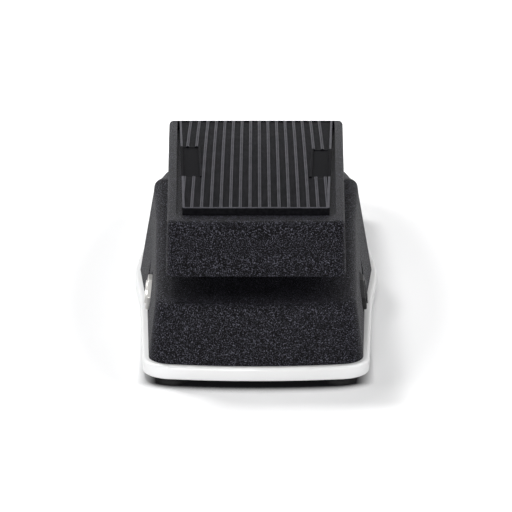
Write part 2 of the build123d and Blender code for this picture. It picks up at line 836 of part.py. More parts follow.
cap_bottom = pivot_height - cap_height
cap_screw_points = [
    (side * (block_inner + block_width / 2), end * cap_screw_offset)
    for side in (-1, 1)
    for end in (-1, 1)
]
with BuildPart() as bearing_cap_screws:
    with BuildSketch(Plane.XY.offset(cap_bottom - seat_clearance)) as cap_heads:
        with Locations(*cap_screw_points):
            Circle(screw_head_radius)
    extrude(cap_heads.sketch, amount=-screw_head_height)
    with BuildSketch(Plane.XY.offset(cap_bottom - seat_clearance)) as cap_shanks:
        with Locations(*cap_screw_points):
            Circle(screw_radius)
    extrude(cap_shanks.sketch, amount=cap_height + cap_screw_grip)
    with BuildSketch(Plane.XY.offset(cap_bottom - seat_clearance - screw_head_height)) as cap_drive:
        with Locations(*cap_screw_points):
            RegularPolygon(hex_drive_radius, 6)
    extrude(cap_drive.sketch, amount=drive_depth, mode=Mode.SUBTRACT)
save(bearing_cap_screws, "bearing_cap_screws")

# ---- bumpers: tall enough to meet the treadle's stops at the ends of the travel ------------
for label, x, y in bumper_places:
    angle = -heel_down if y > 0 else toe_down
    stop_y, stop_z = turned(y, heel_stop_height if y > 0 else toe_stop_height, angle)
    slope = heel_slope if y > 0 else toe_slope
    height = (stop_z - roof_height(stop_y)) * cos(atan(slope)) - bumper_gap
    with BuildPart() as bumper:
        with BuildSketch(bumper_plane(x, y)) as cushion:
            Circle(bumper_radius)
        extrude(cushion.sketch, amount=height)
        fillet(bumper.edges().sort_by(Axis.Z)[-1], radius=min(bumper_edge_radius, height / 3))
        with BuildSketch(bumper_plane(x, y)) as stem:
            Circle(bumper_stem_radius)
        extrude(stem.sketch, amount=-wall)
    save(bumper, f"bumper_{label}")

# ---- rack, its pin and clips ---------------------------------------------------------------
tooth_pitch = pi * gear_module
flank_lean = tan(radians(pressure_angle))
tooth_half = tooth_pitch / 4 - backlash / 2
down_travel = rack_arm * radians(toe_down)
up_travel = rack_arm * radians(heel_down)
teeth_below = int((up_travel + rack_spare) / tooth_pitch)
teeth_above = int((down_travel + rack_spare) / tooth_pitch) + 1
eye_half = rack_pin_radius + rack_slot_clearance
with BuildPart() as rack:
    with BuildSketch(Plane.YZ.offset(-rack_half_width)) as rack_side:
        bar_y = rack_back_y - rack_bar / 2
        with Locations((bar_y, (rack_bottom + rack_pin_height) / 2)):
            Rectangle(rack_bar, rack_pin_height - rack_bottom)
        for number in range(-teeth_below, teeth_above):
            middle = pinion_height + (number + 0.5) * tooth_pitch
            tip = tooth_half - rack_addendum * flank_lean
            root = tooth_half + dedendum * flank_lean
            with BuildLine():
                Polyline(
                    (rack_pitch_y + dedendum, middle - root),
                    (rack_pitch_y - rack_addendum, middle - tip),
                    (rack_pitch_y - rack_addendum, middle + tip),
                    (rack_pitch_y + dedendum, middle + root),
                    close=True,
                )
            make_face()
        with Locations((-rack_arm, rack_pin_height)):
            SlotOverall(
                2 * (eye_half + rack_slot_half + rack_eye_wall), 2 * (eye_half + rack_eye_wall)
            )
            SlotOverall(2 * (eye_half + rack_slot_half), 2 * eye_half, mode=Mode.SUBTRACT)
    extrude(rack_side.sketch, amount=2 * rack_half_width)
save(rack, "rack")

with BuildPart() as rack_pin:
    with BuildSketch(Plane.YZ.offset(-rack_pin_length / 2)) as pin_round:
        with Locations((-rack_arm, rack_pin_height)):
            Circle(rack_pin_radius)
    extrude(pin_round.sketch, amount=rack_pin_length)
    chamfer(rack_pin.edges().filter_by(GeomType.CIRCLE), length=rack_pin_chamfer)
save(rack_pin, "rack_pin")

with BuildPart() as rack_pin_clips:
    clip_start = ear_inner + ear_thickness + seat_clearance
    for start in (clip_start, -clip_start - clip_thickness):
        with BuildSketch(Plane.YZ.offset(start)) as clip_ring:
            with Locations((-rack_arm, rack_pin_height)):
                Circle(clip_radius)
                Circle(rack_pin_radius + seat_clearance, mode=Mode.SUBTRACT)
        extrude(clip_ring.sketch, amount=clip_thickness)
save(rack_pin_clips, "rack_pin_clips")

# ---- pinion: involute teeth on a hub with a set screw --------------------------------------
base_radius = pitch_radius * cos(radians(pressure_angle))
tip_radius = pitch_radius + gear_module
root_radius = pitch_radius - dedendum


def involute(radius, sign):
    """Point on a tooth flank at a radius, for a tooth that points along the local X axis."""
    roll = sqrt(max((radius / base_radius) ** 2 - 1, 0))
    spread = roll - atan(roll)
    pitch_roll = tan(radians(pressure_angle))
    pitch_spread = pitch_roll - radians(pressure_angle)
    half_angle = (tooth_pitch / 4 - backlash / 2) / pitch_radius
    angle = sign * (half_angle + pitch_spread - spread)
    return radius * cos(angle), radius * sin(angle)


flank_radii = [base_radius + (tip_radius - base_radius) * step / 4 for step in range(5)]
low_flank = [involute(radius, -1) for radius in flank_radii]
high_flank = [involute(radius, 1) for radius in reversed(flank_radii)]
with BuildSketch() as pinion_tooth:
    with BuildLine():
        Spline(*low_flank)
        ThreePointArc(low_flank[-1], (tip_radius, 0), high_flank[0])
        Spline(*high_flank)
        Polyline(high_flank[-1], (0, 0), low_flank[0])
    make_face()

hub_end = pinion_half_width + pinion_hub_length
with BuildPart() as pinion:
    with BuildSketch(Plane.YZ.offset(-pinion_half_width)) as toothed:
        with Locations((pinion_y, pinion_height)):
            Circle(root_radius)
            with PolarLocations(0, pinion_teeth):
                add(pinion_tooth.sketch)
            Circle(pot_shaft_radius + seat_clearance / 2, mode=Mode.SUBTRACT)
    extrude(toothed.sketch, amount=2 * pinion_half_width)
    with BuildSketch(Plane.YZ.offset(-hub_end)) as hub:
        with Locations((pinion_y, pinion_height)):
            Circle(pinion_hub_radius)
            Circle(pot_shaft_radius + seat_clearance / 2, mode=Mode.SUBTRACT)
    extrude(hub.sketch, amount=pinion_hub_length)
    set_screw_x = -pinion_half_width - pinion_hub_length / 2
    with BuildSketch(Plane.XY.offset(pinion_height)) as set_screw_hole:
        with Locations((set_screw_x, pinion_y)):
            Circle(set_screw_radius + seat_clearance)
    extrude(set_screw_hole.sketch, amount=2 * pinion_hub_radius, mode=Mode.SUBTRACT)
save(pinion, "pinion")

set_screw_length = pinion_hub_radius - pot_shaft_radius - set_screw_recess
with BuildPart() as pinion_set_screw:
    screw_seat = Plane.XY.offset(pinion_height + pot_shaft_radius + seat_clearance)
    with BuildSketch(screw_seat) as set_screw_round:
        with Locations((set_screw_x, pinion_y)):
            Circle(set_screw_radius)
    extrude(set_screw_round.sketch, amount=set_screw_length)
    with BuildSketch(screw_seat.offset(set_screw_length)) as socket_outline:
        with Locations((set_screw_x, pinion_y)):
            RegularPolygon(set_screw_socket, 6)
    extrude(socket_outline.sketch, amount=-set_screw_socket_depth, mode=Mode.SUBTRACT)
save(pinion_set_screw, "pinion_set_screw")

# ---- potentiometer -------------------------------------------------------------------------
can_start = bracket_back + seat_clearance
can_end = can_start + pot_depth
with BuildPart() as pot_case:
    with BuildSketch(Plane.YZ.offset(can_start)) as can_round:
        with Locations((pinion_y, pinion_height)):
            Circle(pot_radius)
    extrude(can_round.sketch, amount=pot_depth)
    fillet(pot_case.edges().sort_by(Axis.X)[-1], radius=can_edge_radius)
    with BuildSketch(Plane.YZ.offset(can_start + pot_can)) as can_inside:
        with Locations((pinion_y, pinion_height)):
            Circle(pot_radius - pot_can)
    extrude(can_inside.sketch, amount=pot_depth - 2 * pot_can, mode=Mode.SUBTRACT)
    with BuildSketch(Plane.YZ.offset(can_start)) as can_mouth:
        with Locations((pinion_y, pinion_height)):
            Circle(pot_neck_radius + seat_clearance)
    extrude(can_mouth.sketch, amount=2 * pot_can, mode=Mode.SUBTRACT)
save(pot_case, "pot_case")

neck_start = bracket_face - pot_washer_thickness - pot_nut_height - neck_proud
with BuildPart() as pot_neck:
    with BuildSketch(Plane.YZ.offset(neck_start)) as neck_ring:
        with Locations((pinion_y, pinion_height)):
            Circle(pot_neck_radius)
            Circle(pot_shaft_radius + running_clearance, mode=Mode.SUBTRACT)
    extrude(neck_ring.sketch, amount=can_start + pot_can + seat_clearance - neck_start)
    with BuildSketch(Plane.YZ.offset(can_start + pot_can + seat_clearance)) as neck_flange:
        with Locations((pinion_y, pinion_height)):
            Circle(pot_neck_radius + neck_flange_reach)
            Circle(pot_shaft_radius + running_clearance, mode=Mode.SUBTRACT)
    extrude(neck_flange.sketch, amount=neck_flange_thickness)
save(pot_neck, "pot_neck")

with BuildPart() as pot_shaft:
    with BuildSketch(Plane.YZ.offset(-hub_end)) as pot_round:
        with Locations((pinion_y, pinion_height)):
            Circle(pot_shaft_radius)
    extrude(pot_round.sketch, amount=hub_end + can_start + rotor_place + rotor_thickness)
    with BuildSketch(Plane.YZ.offset(can_start + rotor_place)) as rotor_disc:
        with Locations((pinion_y, pinion_height)):
            Circle(rotor_radius)
    extrude(rotor_disc.sketch, amount=rotor_thickness)
save(pot_shaft, "pot_shaft")

with BuildPart() as pot_washer:
    with BuildSketch(Plane.YZ.offset(bracket_face)) as pot_washer_ring:
        with Locations((pinion_y, pinion_height)):
            Circle(pot_washer_radius)
            Circle(pot_neck_radius + seat_clearance, mode=Mode.SUBTRACT)
    extrude(pot_washer_ring.sketch, amount=-pot_washer_thickness)
save(pot_washer, "pot_washer")

with BuildPart() as pot_nut:
    with BuildSketch(Plane.YZ.offset(bracket_face - pot_washer_thickness)) as pot_nut_ring:
        with Locations((pinion_y, pinion_height)):
            RegularPolygon(pot_nut_flats / 2, 6, major_radius=False)
            Circle(pot_neck_radius + seat_clearance, mode=Mode.SUBTRACT)
    extrude(pot_nut_ring.sketch, amount=-pot_nut_height)
save(pot_nut, "pot_nut")

wafer_start = can_start + wafer_place
with BuildPart() as pot_wafer:
    with BuildSketch(Plane.YZ.offset(wafer_start)) as wafer_shape:
        with Locations((pinion_y, pinion_height - (pot_radius + wafer_drop - wafer_lap) / 2)):
            Rectangle(2 * wafer_half, wafer_drop - pot_radius + wafer_lap)
        with Locations((pinion_y, pinion_height)):
            Circle(pot_radius + seat_clearance, mode=Mode.SUBTRACT)
    extrude(wafer_shape.sketch, amount=wafer_thickness)
save(pot_wafer, "pot_wafer")

terminal_ys = [pinion_y + step * terminal_pitch for step in (-1, 0, 1)]
with BuildPart() as pot_terminals:
    with BuildSketch(Plane.YZ.offset(wafer_start + wafer_thickness + seat_clearance)) as terminal_shape:
        with Locations(*[(y, terminal_bottom + terminal_height / 2) for y in terminal_ys]):
            RectangleRounded(2 * terminal_half, terminal_height, terminal_corner)
        with Locations(*[(y, terminal_bottom + terminal_hole_rise) for y in terminal_ys]):
            Circle(terminal_hole_radius, mode=Mode.SUBTRACT)
    extrude(terminal_shape.sketch, amount=terminal_thickness)
save(pot_terminals, "pot_terminals")

# ---- bracket that hangs the potentiometer and the rack guide from the roof -----------------
with BuildPart() as pot_bracket:
    with BuildSketch(Plane.YZ.offset(bracket_face)) as plate:
        with BuildLine():
            Polyline(
                (bracket_toe_y, bracket_bottom + bracket_chamfer),
                (bracket_toe_y + bracket_chamfer, bracket_bottom),
                (bracket_heel_y, bracket_bottom),
                (bracket_heel_y, bracket_top),
                (bracket_toe_y, bracket_top),
                close=True,
            )
        make_face()
        with Locations((pinion_y, pinion_height)):
            Circle(pot_neck_radius + hole_clearance, mode=Mode.SUBTRACT)
    extrude(plate.sketch, amount=bracket_thickness)
    with BuildSketch(Plane.XY.offset(bracket_top - bracket_thickness)) as bent_ears:
        with Locations(*[(bracket_face + ear_reach / 2, y) for y in bracket_screw_y]):
            Rectangle(ear_reach, ear_length)
        with Locations(*[(bracket_screw_x, y) for y in bracket_screw_y]):
            Circle(screw_radius + hole_clearance, mode=Mode.SUBTRACT)
    extrude(bent_ears.sketch, amount=bracket_thickness - seat_clearance)
    with BuildSketch(Plane.YZ.offset(bracket_face)) as guide_screw_hole:
        with Locations((rack_back_y + guide_back / 2, (guide_bottom + guide_top) / 2)):
            Circle(screw_radius + hole_clearance)
    extrude(guide_screw_hole.sketch, amount=bracket_thickness, mode=Mode.SUBTRACT)
save(pot_bracket, "pot_bracket")

with BuildPart() as bracket_screws:
    screw_under = bracket_top - bracket_thickness - seat_clearance
    with BuildSketch(Plane.XY.offset(screw_under)) as bracket_heads:
        with Locations(*[(bracket_screw_x, y) for y in bracket_screw_y]):
            Circle(screw_head_radius)
    extrude(bracket_heads.sketch, amount=-screw_head_height)
    with BuildSketch(Plane.XY.offset(screw_under)) as bracket_shanks:
        with Locations(*[(bracket_screw_x, y) for y in bracket_screw_y]):
            Circle(screw_radius)
    extrude(bracket_shanks.sketch, amount=bracket_screw_tip - screw_under)
    with BuildSketch(Plane.XY.offset(screw_under - screw_head_height)) as bracket_drive:
        with Locations(*[(bracket_screw_x, y) for y in bracket_screw_y]):
            RegularPolygon(hex_drive_radius, 6)
    extrude(bracket_drive.sketch, amount=drive_depth, mode=Mode.SUBTRACT)
save(bracket_screws, "bracket_screws")

# ---- rack guide: a nylon channel behind the rack -------------------------------------------
with BuildPart() as rack_guide:
    guide_middle = (guide_bottom + guide_top) / 2
    guide_front = rack_back_y + guide_back - guide_depth
    with BuildSketch(Plane.XY.offset(guide_bottom)) as channel:
        with Locations((seat_clearance / -2, (guide_front + rack_back_y + guide_back) / 2)):
            Rectangle(2 * guide_half - seat_clearance, guide_depth)
        with Locations((0, (guide_front + rack_back_y) / 2)):
            Rectangle(
                2 * (rack_half_width + 2 * running_clearance),
                guide_depth - guide_back + 2 * running_clearance,
                mode=Mode.SUBTRACT,
            )
    extrude(channel.sketch, amount=guide_top - guide_bottom)
    with BuildSketch(Plane.YZ.offset(-guide_half)) as guide_bore:
        with Locations((rack_back_y + guide_back / 2, guide_middle)):
            Circle(screw_radius + seat_clearance)
    extrude(guide_bore.sketch, amount=2 * guide_half, mode=Mode.SUBTRACT)
save(rack_guide, "rack_guide")

with BuildPart() as guide_screw:
    with BuildSketch(Plane.YZ.offset(bracket_back + seat_clearance)) as guide_head:
        with Locations((rack_back_y + guide_back / 2, guide_middle)):
            Circle(screw_head_radius)
    extrude(guide_head.sketch, amount=screw_head_height)
    with BuildSketch(Plane.YZ.offset(bracket_back + seat_clearance)) as guide_shank:
        with Locations((rack_back_y + guide_back / 2, guide_middle)):
            Circle(screw_radius)
    extrude(guide_shank.sketch, amount=-(bracket_thickness + guide_screw_bite))
save(guide_screw, "guide_screw")

# ---- jacks ---------------------------------------------------------------------------------
# In a jack's own plane Z points out of the housing and Y up; the plug comes in along -Z.
shoulder = spotface_depth - wall * cos(atan(shell_draft)) - seat_clearance
flange_back = shoulder - fibre_thickness - 2 * seat_clearance - jack_flange_thickness
stack_top = jack_arm_offset - seat_clearance
stack_middle = -(stack_front + stack_back) / 2
stack_low = leaf_height - stack_under

for label, side in (("input", -1), ("output", 1)):
    seat = jack_plane(side)
    tag_side = -side  # the solder tags of both jacks point towards the toe

    with BuildPart() as jack_frame:
        with BuildSketch(seat.offset(flange_back)) as neck_round:
            Circle(jack_neck_radius)
        extrude(neck_round.sketch, amount=jack_neck_proud - flange_back)
        with BuildSketch(seat.offset(flange_back)) as frame_flange:
            with Locations((0, (jack_arm_offset + jack_flange_thickness - jack_flange_half) / 2)):
                Rectangle(
                    2 * jack_flange_half, jack_arm_offset + jack_flange_thickness + jack_flange_half
                )
        extrude(frame_flange.sketch, amount=jack_flange_thickness)
        with BuildSketch(seat.offset(-jack_arm_end)) as frame_arm:
            with Locations((0, jack_arm_offset + jack_flange_thickness / 2)):
                Rectangle(2 * jack_arm_half, jack_flange_thickness)
        extrude(frame_arm.sketch, amount=jack_arm_end + flange_back)
        with BuildSketch(seat.offset(-jack_lug_end)) as sleeve_lug:
            with Locations((0, jack_arm_offset + jack_flange_thickness / 2)):
                Rectangle(2 * jack_lug_half, jack_flange_thickness)
        extrude(sleeve_lug.sketch, amount=jack_lug_end - jack_arm_end)
        rivet_plane = Plane(
            origin=seat.from_local_coords((0, stack_low - rivet_head_height, stack_middle)),
            x_dir=seat.x_dir,
            z_dir=seat.y_dir,
        )
        with BuildSketch(rivet_plane) as rivet_shank:
            Circle(rivet_radius)
        extrude(rivet_shank.sketch, amount=jack_arm_offset - stack_low + 2 * rivet_head_height)
        with BuildSketch(rivet_plane) as rivet_head:
            Circle(rivet_head_radius)
        extrude(rivet_head.sketch, amount=rivet_head_height - seat_clearance)
        with BuildSketch(seat.offset(flange_back)) as plug_bore:
            Circle(jack_bore_radius)
        extrude(plug_bore.sketch, amount=jack_neck_proud - flange_back, mode=Mode.SUBTRACT)
    save(jack_frame, f"{label}_jack_frame")

    with BuildPart() as jack_fibre:
        with BuildSketch(seat.offset(shoulder)) as fibre_ring:
            Circle(jack_washer_radius)
            Circle(jack_neck_radius + seat_clearance, mode=Mode.SUBTRACT)
        extrude(fibre_ring.sketch, amount=-fibre_thickness)
    save(jack_fibre, f"{label}_jack_fibre_washer")

    with BuildPart() as jack_washer:
        with BuildSketch(seat) as washer_round:
            Circle(jack_washer_radius)
            Circle(jack_neck_radius + seat_clearance, mode=Mode.SUBTRACT)
        extrude(washer_round.sketch, amount=jack_washer_thickness)
    save(jack_washer, f"{label}_jack_washer")

    with BuildPart() as jack_nut:
        with BuildSketch(seat.offset(jack_washer_thickness)) as nut_hex:
            RegularPolygon(jack_nut_flats / 2, 6, major_radius=False)
            Circle(jack_neck_radius + seat_clearance, mode=Mode.SUBTRACT)
        extrude(nut_hex.sketch, amount=jack_nut_height)
        nut_round = 2 * jack_nut_height + jack_nut_flats / sqrt(3) - jack_nut_chamfer
        nut_start = jack_washer_thickness - jack_nut_height
        with BuildPart(mode=Mode.PRIVATE) as nut_cone:
            with BuildSketch(seat.offset(nut_start)) as nut_cone_base:
                Circle(nut_round)
            extrude(nut_cone_base.sketch, amount=3 * jack_nut_height, taper=45)
        add(nut_cone.part, mode=Mode.INTERSECT)
    save(jack_nut, f"{label}_jack_nut")

    with BuildPart() as jack_stack:
        with BuildSketch(seat.offset(-stack_back)) as stack_section:
            with Locations((0, (stack_low + stack_top) / 2)):
                Rectangle(2 * stack_half, stack_top - stack_low)
            with Locations((0, leaf_height + leaf_thickness / 2)):
                Rectangle(2 * stack_half, leaf_thickness + 2 * seat_clearance, mode=Mode.SUBTRACT)
        extrude(stack_section.sketch, amount=stack_back - stack_front)
        with BuildSketch(rivet_plane) as stack_hole:
            Circle(rivet_radius + seat_clearance)
        extrude(stack_hole.sketch, amount=2 * jack_arm_offset, both=True, mode=Mode.SUBTRACT)
    save(jack_stack, f"{label}_jack_stack")

    with BuildPart() as jack_tip_spring:
        leaf_side = Plane(
            origin=seat.from_local_coords((-leaf_half, 0, 0)), x_dir=-seat.z_dir, z_dir=seat.x_dir
        )
        up = 1 if leaf_side.y_dir.dot(seat.y_dir) > 0 else -1
        with BuildSketch(leaf_side) as leaf_shape:
            with BuildLine():
                FilletPolyline(
                    (stack_front, up * (leaf_height + leaf_thickness / 2)),
                    (leaf_end, up * (leaf_height + leaf_thickness / 2)),
                    (leaf_end + leaf_hook_reach, up * (leaf_height - leaf_hook_drop)),
                    (leaf_end - leaf_hook_return, up * (leaf_height - leaf_hook_drop / 2)),
                    radius=leaf_bend,
                )
            trace(line_width=leaf_thickness)
        extrude(leaf_shape.sketch, amount=2 * leaf_half)
        leaf_top = Plane(
            origin=seat.from_local_coords((0, leaf_height, 0)), x_dir=seat.x_dir, z_dir=seat.y_dir
        )
        tag_depth = leaf_top.to_local_coords(
            seat.from_local_coords((0, leaf_height, stack_middle))
        ).Y
        with BuildSketch(leaf_top) as tag:
            with Locations((tag_side * (tag_reach + leaf_half - tag_lap) / 2, tag_depth)):
                Rectangle(tag_reach - leaf_half + tag_lap, 2 * tag_half)
            with Locations((tag_side * (tag_reach - tag_hole_inset), tag_depth)):
                Circle(tag_hole_radius, mode=Mode.SUBTRACT)
        extrude(tag.sketch, amount=leaf_thickness)
        with BuildSketch(rivet_plane) as leaf_hole:
            Circle(rivet_radius + seat_clearance)
        extrude(leaf_hole.sketch, amount=2 * jack_arm_offset, both=True, mode=Mode.SUBTRACT)
    save(jack_tip_spring, f"{label}_jack_tip_spring")


# ---- hook-up wires -------------------------------------------------------------------------
def tag_end(side):
    """Where a wire starts, just clear of the end of a jack's tip tag."""
    seat = jack_plane(side)
    return seat.from_local_coords(
        (-side * (tag_reach + seat_clearance), leaf_height + leaf_thickness / 2, stack_middle)
    )


def lug_point(side):
    """Middle of a jack's sleeve lug."""
    middle = -(jack_arm_end + jack_lug_end) / 2
    return jack_plane(side).from_local_coords(
        (0, jack_arm_offset + jack_flange_thickness / 2, middle)
    )


terminal_face = wafer_start + wafer_thickness + terminal_thickness + seat_clearance
solder_height = terminal_bottom + 2.3
run_out = terminal_face + 6.0
under_height = foot_height + tray_floor + 2.0
input_start = tag_end(-1)
output_start = tag_end(1)
ground_left = lug_point(-1) + Vector(jack_lug_half, 0, 0)
ground_right = lug_point(1) - Vector(jack_lug_half, 0, 0)
pot_ground_start = lug_point(1) - Vector(0, jack_lug_half + seat_clearance, 0)

wire_routes = {
    "input_tip_wire": [
        tuple(input_start),
        (input_start.X, pinion_y + 8.3, input_start.Z),
        (-24.0, pinion_y - 1.7, under_height + 3.0),
        (-12.0, pinion_y - 17.7, under_height),
        (6.0, pinion_y - 21.7, under_height),
        (run_out + 2.0, pinion_y - 12.7, under_height + 1.0),
        (run_out, terminal_ys[0], solder_height),
        (terminal_face, terminal_ys[0], solder_height),
    ],
    "output_tip_wire": [
        tuple(output_start),
        (output_start.X, pinion_y + 9.3, output_start.Z - 1.0),
        (output_start.X - 3.0, pinion_y + 2.3, solder_height + 3.0),
        (run_out, terminal_ys[1], solder_height),
        (terminal_face, terminal_ys[1], solder_height),
    ],
    "pot_ground_wire": [
        tuple(pot_ground_start),
        (pot_ground_start.X, pinion_y + 19.8, pot_ground_start.Z - 0.5),
        (pot_ground_start.X + 2.5, pinion_y + 12.3, solder_height + 5.0),
        (run_out, terminal_ys[2], solder_height),
        (terminal_face, terminal_ys[2], solder_height),
    ],
    "jack_ground_wire": [
        tuple(ground_left + Vector(seat_clearance, 0, 0)),
        (-8.0, -jack_y - 1.0, ground_left.Z - 4.0),
        (8.0, -jack_y - 1.0, ground_left.Z - 4.0),
        tuple(ground_right - Vector(seat_clearance, 0, 0)),
    ],
}
for label, points in wire_routes.items():
    with BuildPart() as wire:
        with BuildLine() as route:
            FilletPolyline(*points, radius=wire_bend)
        with BuildSketch(route.line ^ 0) as wire_round:
            Circle(wire_radius)
        sweep(wire_round.sketch, path=route.line)
    save(wire, label)
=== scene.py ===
import json
from math import cos, pi, radians, sin, sqrt

import bmesh
import bpy
import numpy as np
from bpy.props import FloatProperty, FloatVectorProperty, IntProperty, PointerProperty
from bpy.types import Operator, Panel, PropertyGroup
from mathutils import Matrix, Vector


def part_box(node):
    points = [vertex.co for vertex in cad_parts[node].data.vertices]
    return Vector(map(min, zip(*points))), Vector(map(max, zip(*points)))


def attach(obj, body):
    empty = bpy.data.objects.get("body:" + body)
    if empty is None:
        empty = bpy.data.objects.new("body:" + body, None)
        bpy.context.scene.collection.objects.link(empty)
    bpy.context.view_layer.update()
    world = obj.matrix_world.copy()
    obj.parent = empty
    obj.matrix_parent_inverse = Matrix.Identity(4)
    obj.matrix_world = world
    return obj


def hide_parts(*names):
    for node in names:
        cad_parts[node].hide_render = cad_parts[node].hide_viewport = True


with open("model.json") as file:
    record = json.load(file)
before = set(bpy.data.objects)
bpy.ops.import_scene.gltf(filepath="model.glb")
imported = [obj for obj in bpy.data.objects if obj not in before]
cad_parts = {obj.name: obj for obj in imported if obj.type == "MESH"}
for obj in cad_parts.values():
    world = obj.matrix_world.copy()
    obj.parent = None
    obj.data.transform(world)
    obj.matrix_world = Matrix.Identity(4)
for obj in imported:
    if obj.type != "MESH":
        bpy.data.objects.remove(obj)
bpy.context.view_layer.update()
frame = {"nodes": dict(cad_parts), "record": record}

bl_info = {
    "name": "Volume pedal finish",
    "version": (1, 0, 0),
    "blender": (4, 5, 0),
    "location": "View3D > Sidebar > Pedal",
    "description": "Finishes a rocker volume pedal: tread, painted castings, jacks and linkage",
    "category": "Object",
}

MM = 0.001

TREAD_ROWS = 75  # even stations along the tread, besides those at its edges
TREAD_COLUMNS = 90  # and across it
RIB_WEAR_AND_HIGHLIGHT = np.array([0.0, 0.5, 1.0, 0.9, 0.35, 0.9, 1.0, 0.5, 0.0])  # wear, and a painted highlight that is strongest on the shoulders
# wear, and a painted highlight along the rim
RIM_WEAR_AND_HIGHLIGHT = 0.9
RIM_WORN_AND_HIGHLIT_PART = 0.85  # of the rim's width, from outside, that takes the rim's wear and painted highlight
PANEL_WEAR = -1  # marks the plain panels, which stay dark
PANEL_SLOPE = 0.25 * MM  # from the ribs down into a panel
PANEL_DEPTH = 0.45  # of the rib height, below the ground between ribs
PANEL_LINE_RADIUS = 0.62 * MM
PANEL_LINE_GAP = 0.3 * MM  # from a panel's inner side to its raised line

JACK_NECK_RADIUS = 4.75 * MM
THREAD_TURNS = 0.72
THREAD_START = 0.12 * MM  # below the mouth of the neck
THREAD_SETBACK = 0.1  # pitches further below
THREAD_LEAD = 0.5  # pitches in a turn
THREAD_RIDGE = 0.28  # pitches for a unit of the ridge's section

BLACK = (0.014, 0.014, 0.015)  # plastic and insulation
CAMERA_REACH = 50  # metres
FLOOR_REACH = 3  # metres each way
FLOOR_POINTS = 13  # each way
FLOOR_FADE = (0.075, 0.16)  # from the middle, where the camera's extra light sets in
FLOOR_FADE_SHAPE = (1.0, 0.45, 0.0)  # that distance counts less along the pedal
FLOOR_GLOW = (0.09, 1.0)  # extra light, near and far
FLOOR_CLOSE = 14 * MM  # what stands nearer than this paints contact shadow on the floor
FLOOR_CLOSE_POWER = 2.2  # how fast that painted shadow falls off
FLOOR_CLOSE_RANGE = (0.2, 0.75)  # of that, from the darkest painted shadow to the bare floor
# colour of the painted contact shadow
FLOOR_PAINTED_SHADOW_TONE = (0.03, 0.03, 0.033)
FLOOR_CLOSE_SIDE = (0.039, 0.047)  # from the middle line, where the painted shadow ends

# Area lights: name, place, aim, width, height and power.
LAMPS = (
    ("key", (-0.5, 0.75, 1.5), (0, 0, 0), 0.3, 0.3, 13),
    ("overhead", (0, -0.1, 1.9), (0, 0, 0), 1.0, 1.0, 6.5),
    ("front", (-0.15, -1.8, 0.4), (0, 0, 0.02), 0.5, 0.5, 18.5),
    ("left_panel", (-1.2, 0.1, 0.7), (0, 0, 0.03), 0.8, 0.8, 7),
    ("right_panel", (1.2, 0.1, 0.7), (0, 0, 0.03), 0.8, 0.8, 7),
)


# ---- sizes and colours a user may change ------------------------------------------------


def length(name, description, default):
    """A length property in scene units."""
    return FloatProperty(
        name=name, description=description, default=default, subtype="DISTANCE", unit="LENGTH"
    )


def colour(name, description, default):
    """A linear RGB colour property."""
    return FloatVectorProperty(
        name=name, description=description, default=default, size=3, min=0, max=1, subtype="COLOR"
    )


def share(name, description, default):
    """A property from 0 to 1."""
    return FloatProperty(
        name=name, description=description, default=default, min=0, max=1, subtype="FACTOR"
    )


class TreadSettings(PropertyGroup):
    """Sizes of the ribbed rubber tread."""

    crown_height: length("Crown height", "Top of the tread over the pivot", 58.0 * MM)
    crown_radius: length("Crown radius", "Radius of the tread's long arc", 1920 * MM)
    crown_slope: FloatProperty(name="Slope", description="Fall towards the heel", default=0.105)
    thickness: length("Thickness", "Rubber from top to underside", 3.9 * MM)
    toe_half: length("Toe half width", "Half width at the toe end", 28.7 * MM)
    heel_half: length("Heel half width", "Half width at the heel end", 34.0 * MM)
    corner: length("Corner radius", "Plan radius of the corners", 1.5 * MM)
    rim_width: length("Rim width", "Raised edge round the tread", 1.15 * MM)
    rib_count: IntProperty(name="Ribs", description="Number of ribs", default=16, min=2)
    rib_first: length("First rib", "X of the first rib", -28.9 * MM)
    rib_pitch: length("Rib pitch", "Distance between ribs", 3.793 * MM)
    rib_width: length("Rib width", "Width of a rib at its foot", 1.45 * MM)
    rib_height: length("Rib height", "How far the ribs stand up", 0.6 * MM)
    panel_left_toe: length("Left panel, toe end", "Y where the left panel starts", -45.0 * MM)
    panel_left_heel: length("Left panel, heel end", "Y where the left panel ends", 23.0 * MM)
    panel_right_toe: length("Right panel, toe end", "Y where the right panel starts", -46.0 * MM)
    panel_right_heel: length("Right panel, heel end", "Y where the right panel ends", 16.0 * MM)
    panel_width: length("Panel width", "Width of the plain panels", 6.6 * MM)
    rubber: colour("Rubber", "Colour of the tread", (0.004, 0.004, 0.005))
    rubber_dusty: colour("Dusty rubber", "Colour of its dusty streaks", (0.011, 0.011, 0.013))
    # paler colour of the ribs and the rim: wear together with a painted highlight
    rubber_worn_and_highlit: colour("Worn rubber", "Colour of the rubbed ribs", (0.088, 0.087, 0.1))


class PaintSettings(PropertyGroup):
    """Finish of the painted castings and of the base tray."""

    coat: colour("Coat", "Ground colour of the textured coat", (0.002, 0.002, 0.0025))
    # the fleck colour is a painted glint on the grain tops, which stands in for light catching the
    # raised grains
    glint_fleck: colour("Fleck", "Colour of the raised grains of the coat", (0.21, 0.208, 0.262))
    grain: length("Grain", "Size of the grains of the coat", 0.44 * MM)
    grain_height: length("Grain height", "Relief of the coat", 0.16 * MM)
    tray: colour("Tray", "Colour of the base tray", (0.86, 0.865, 0.87))


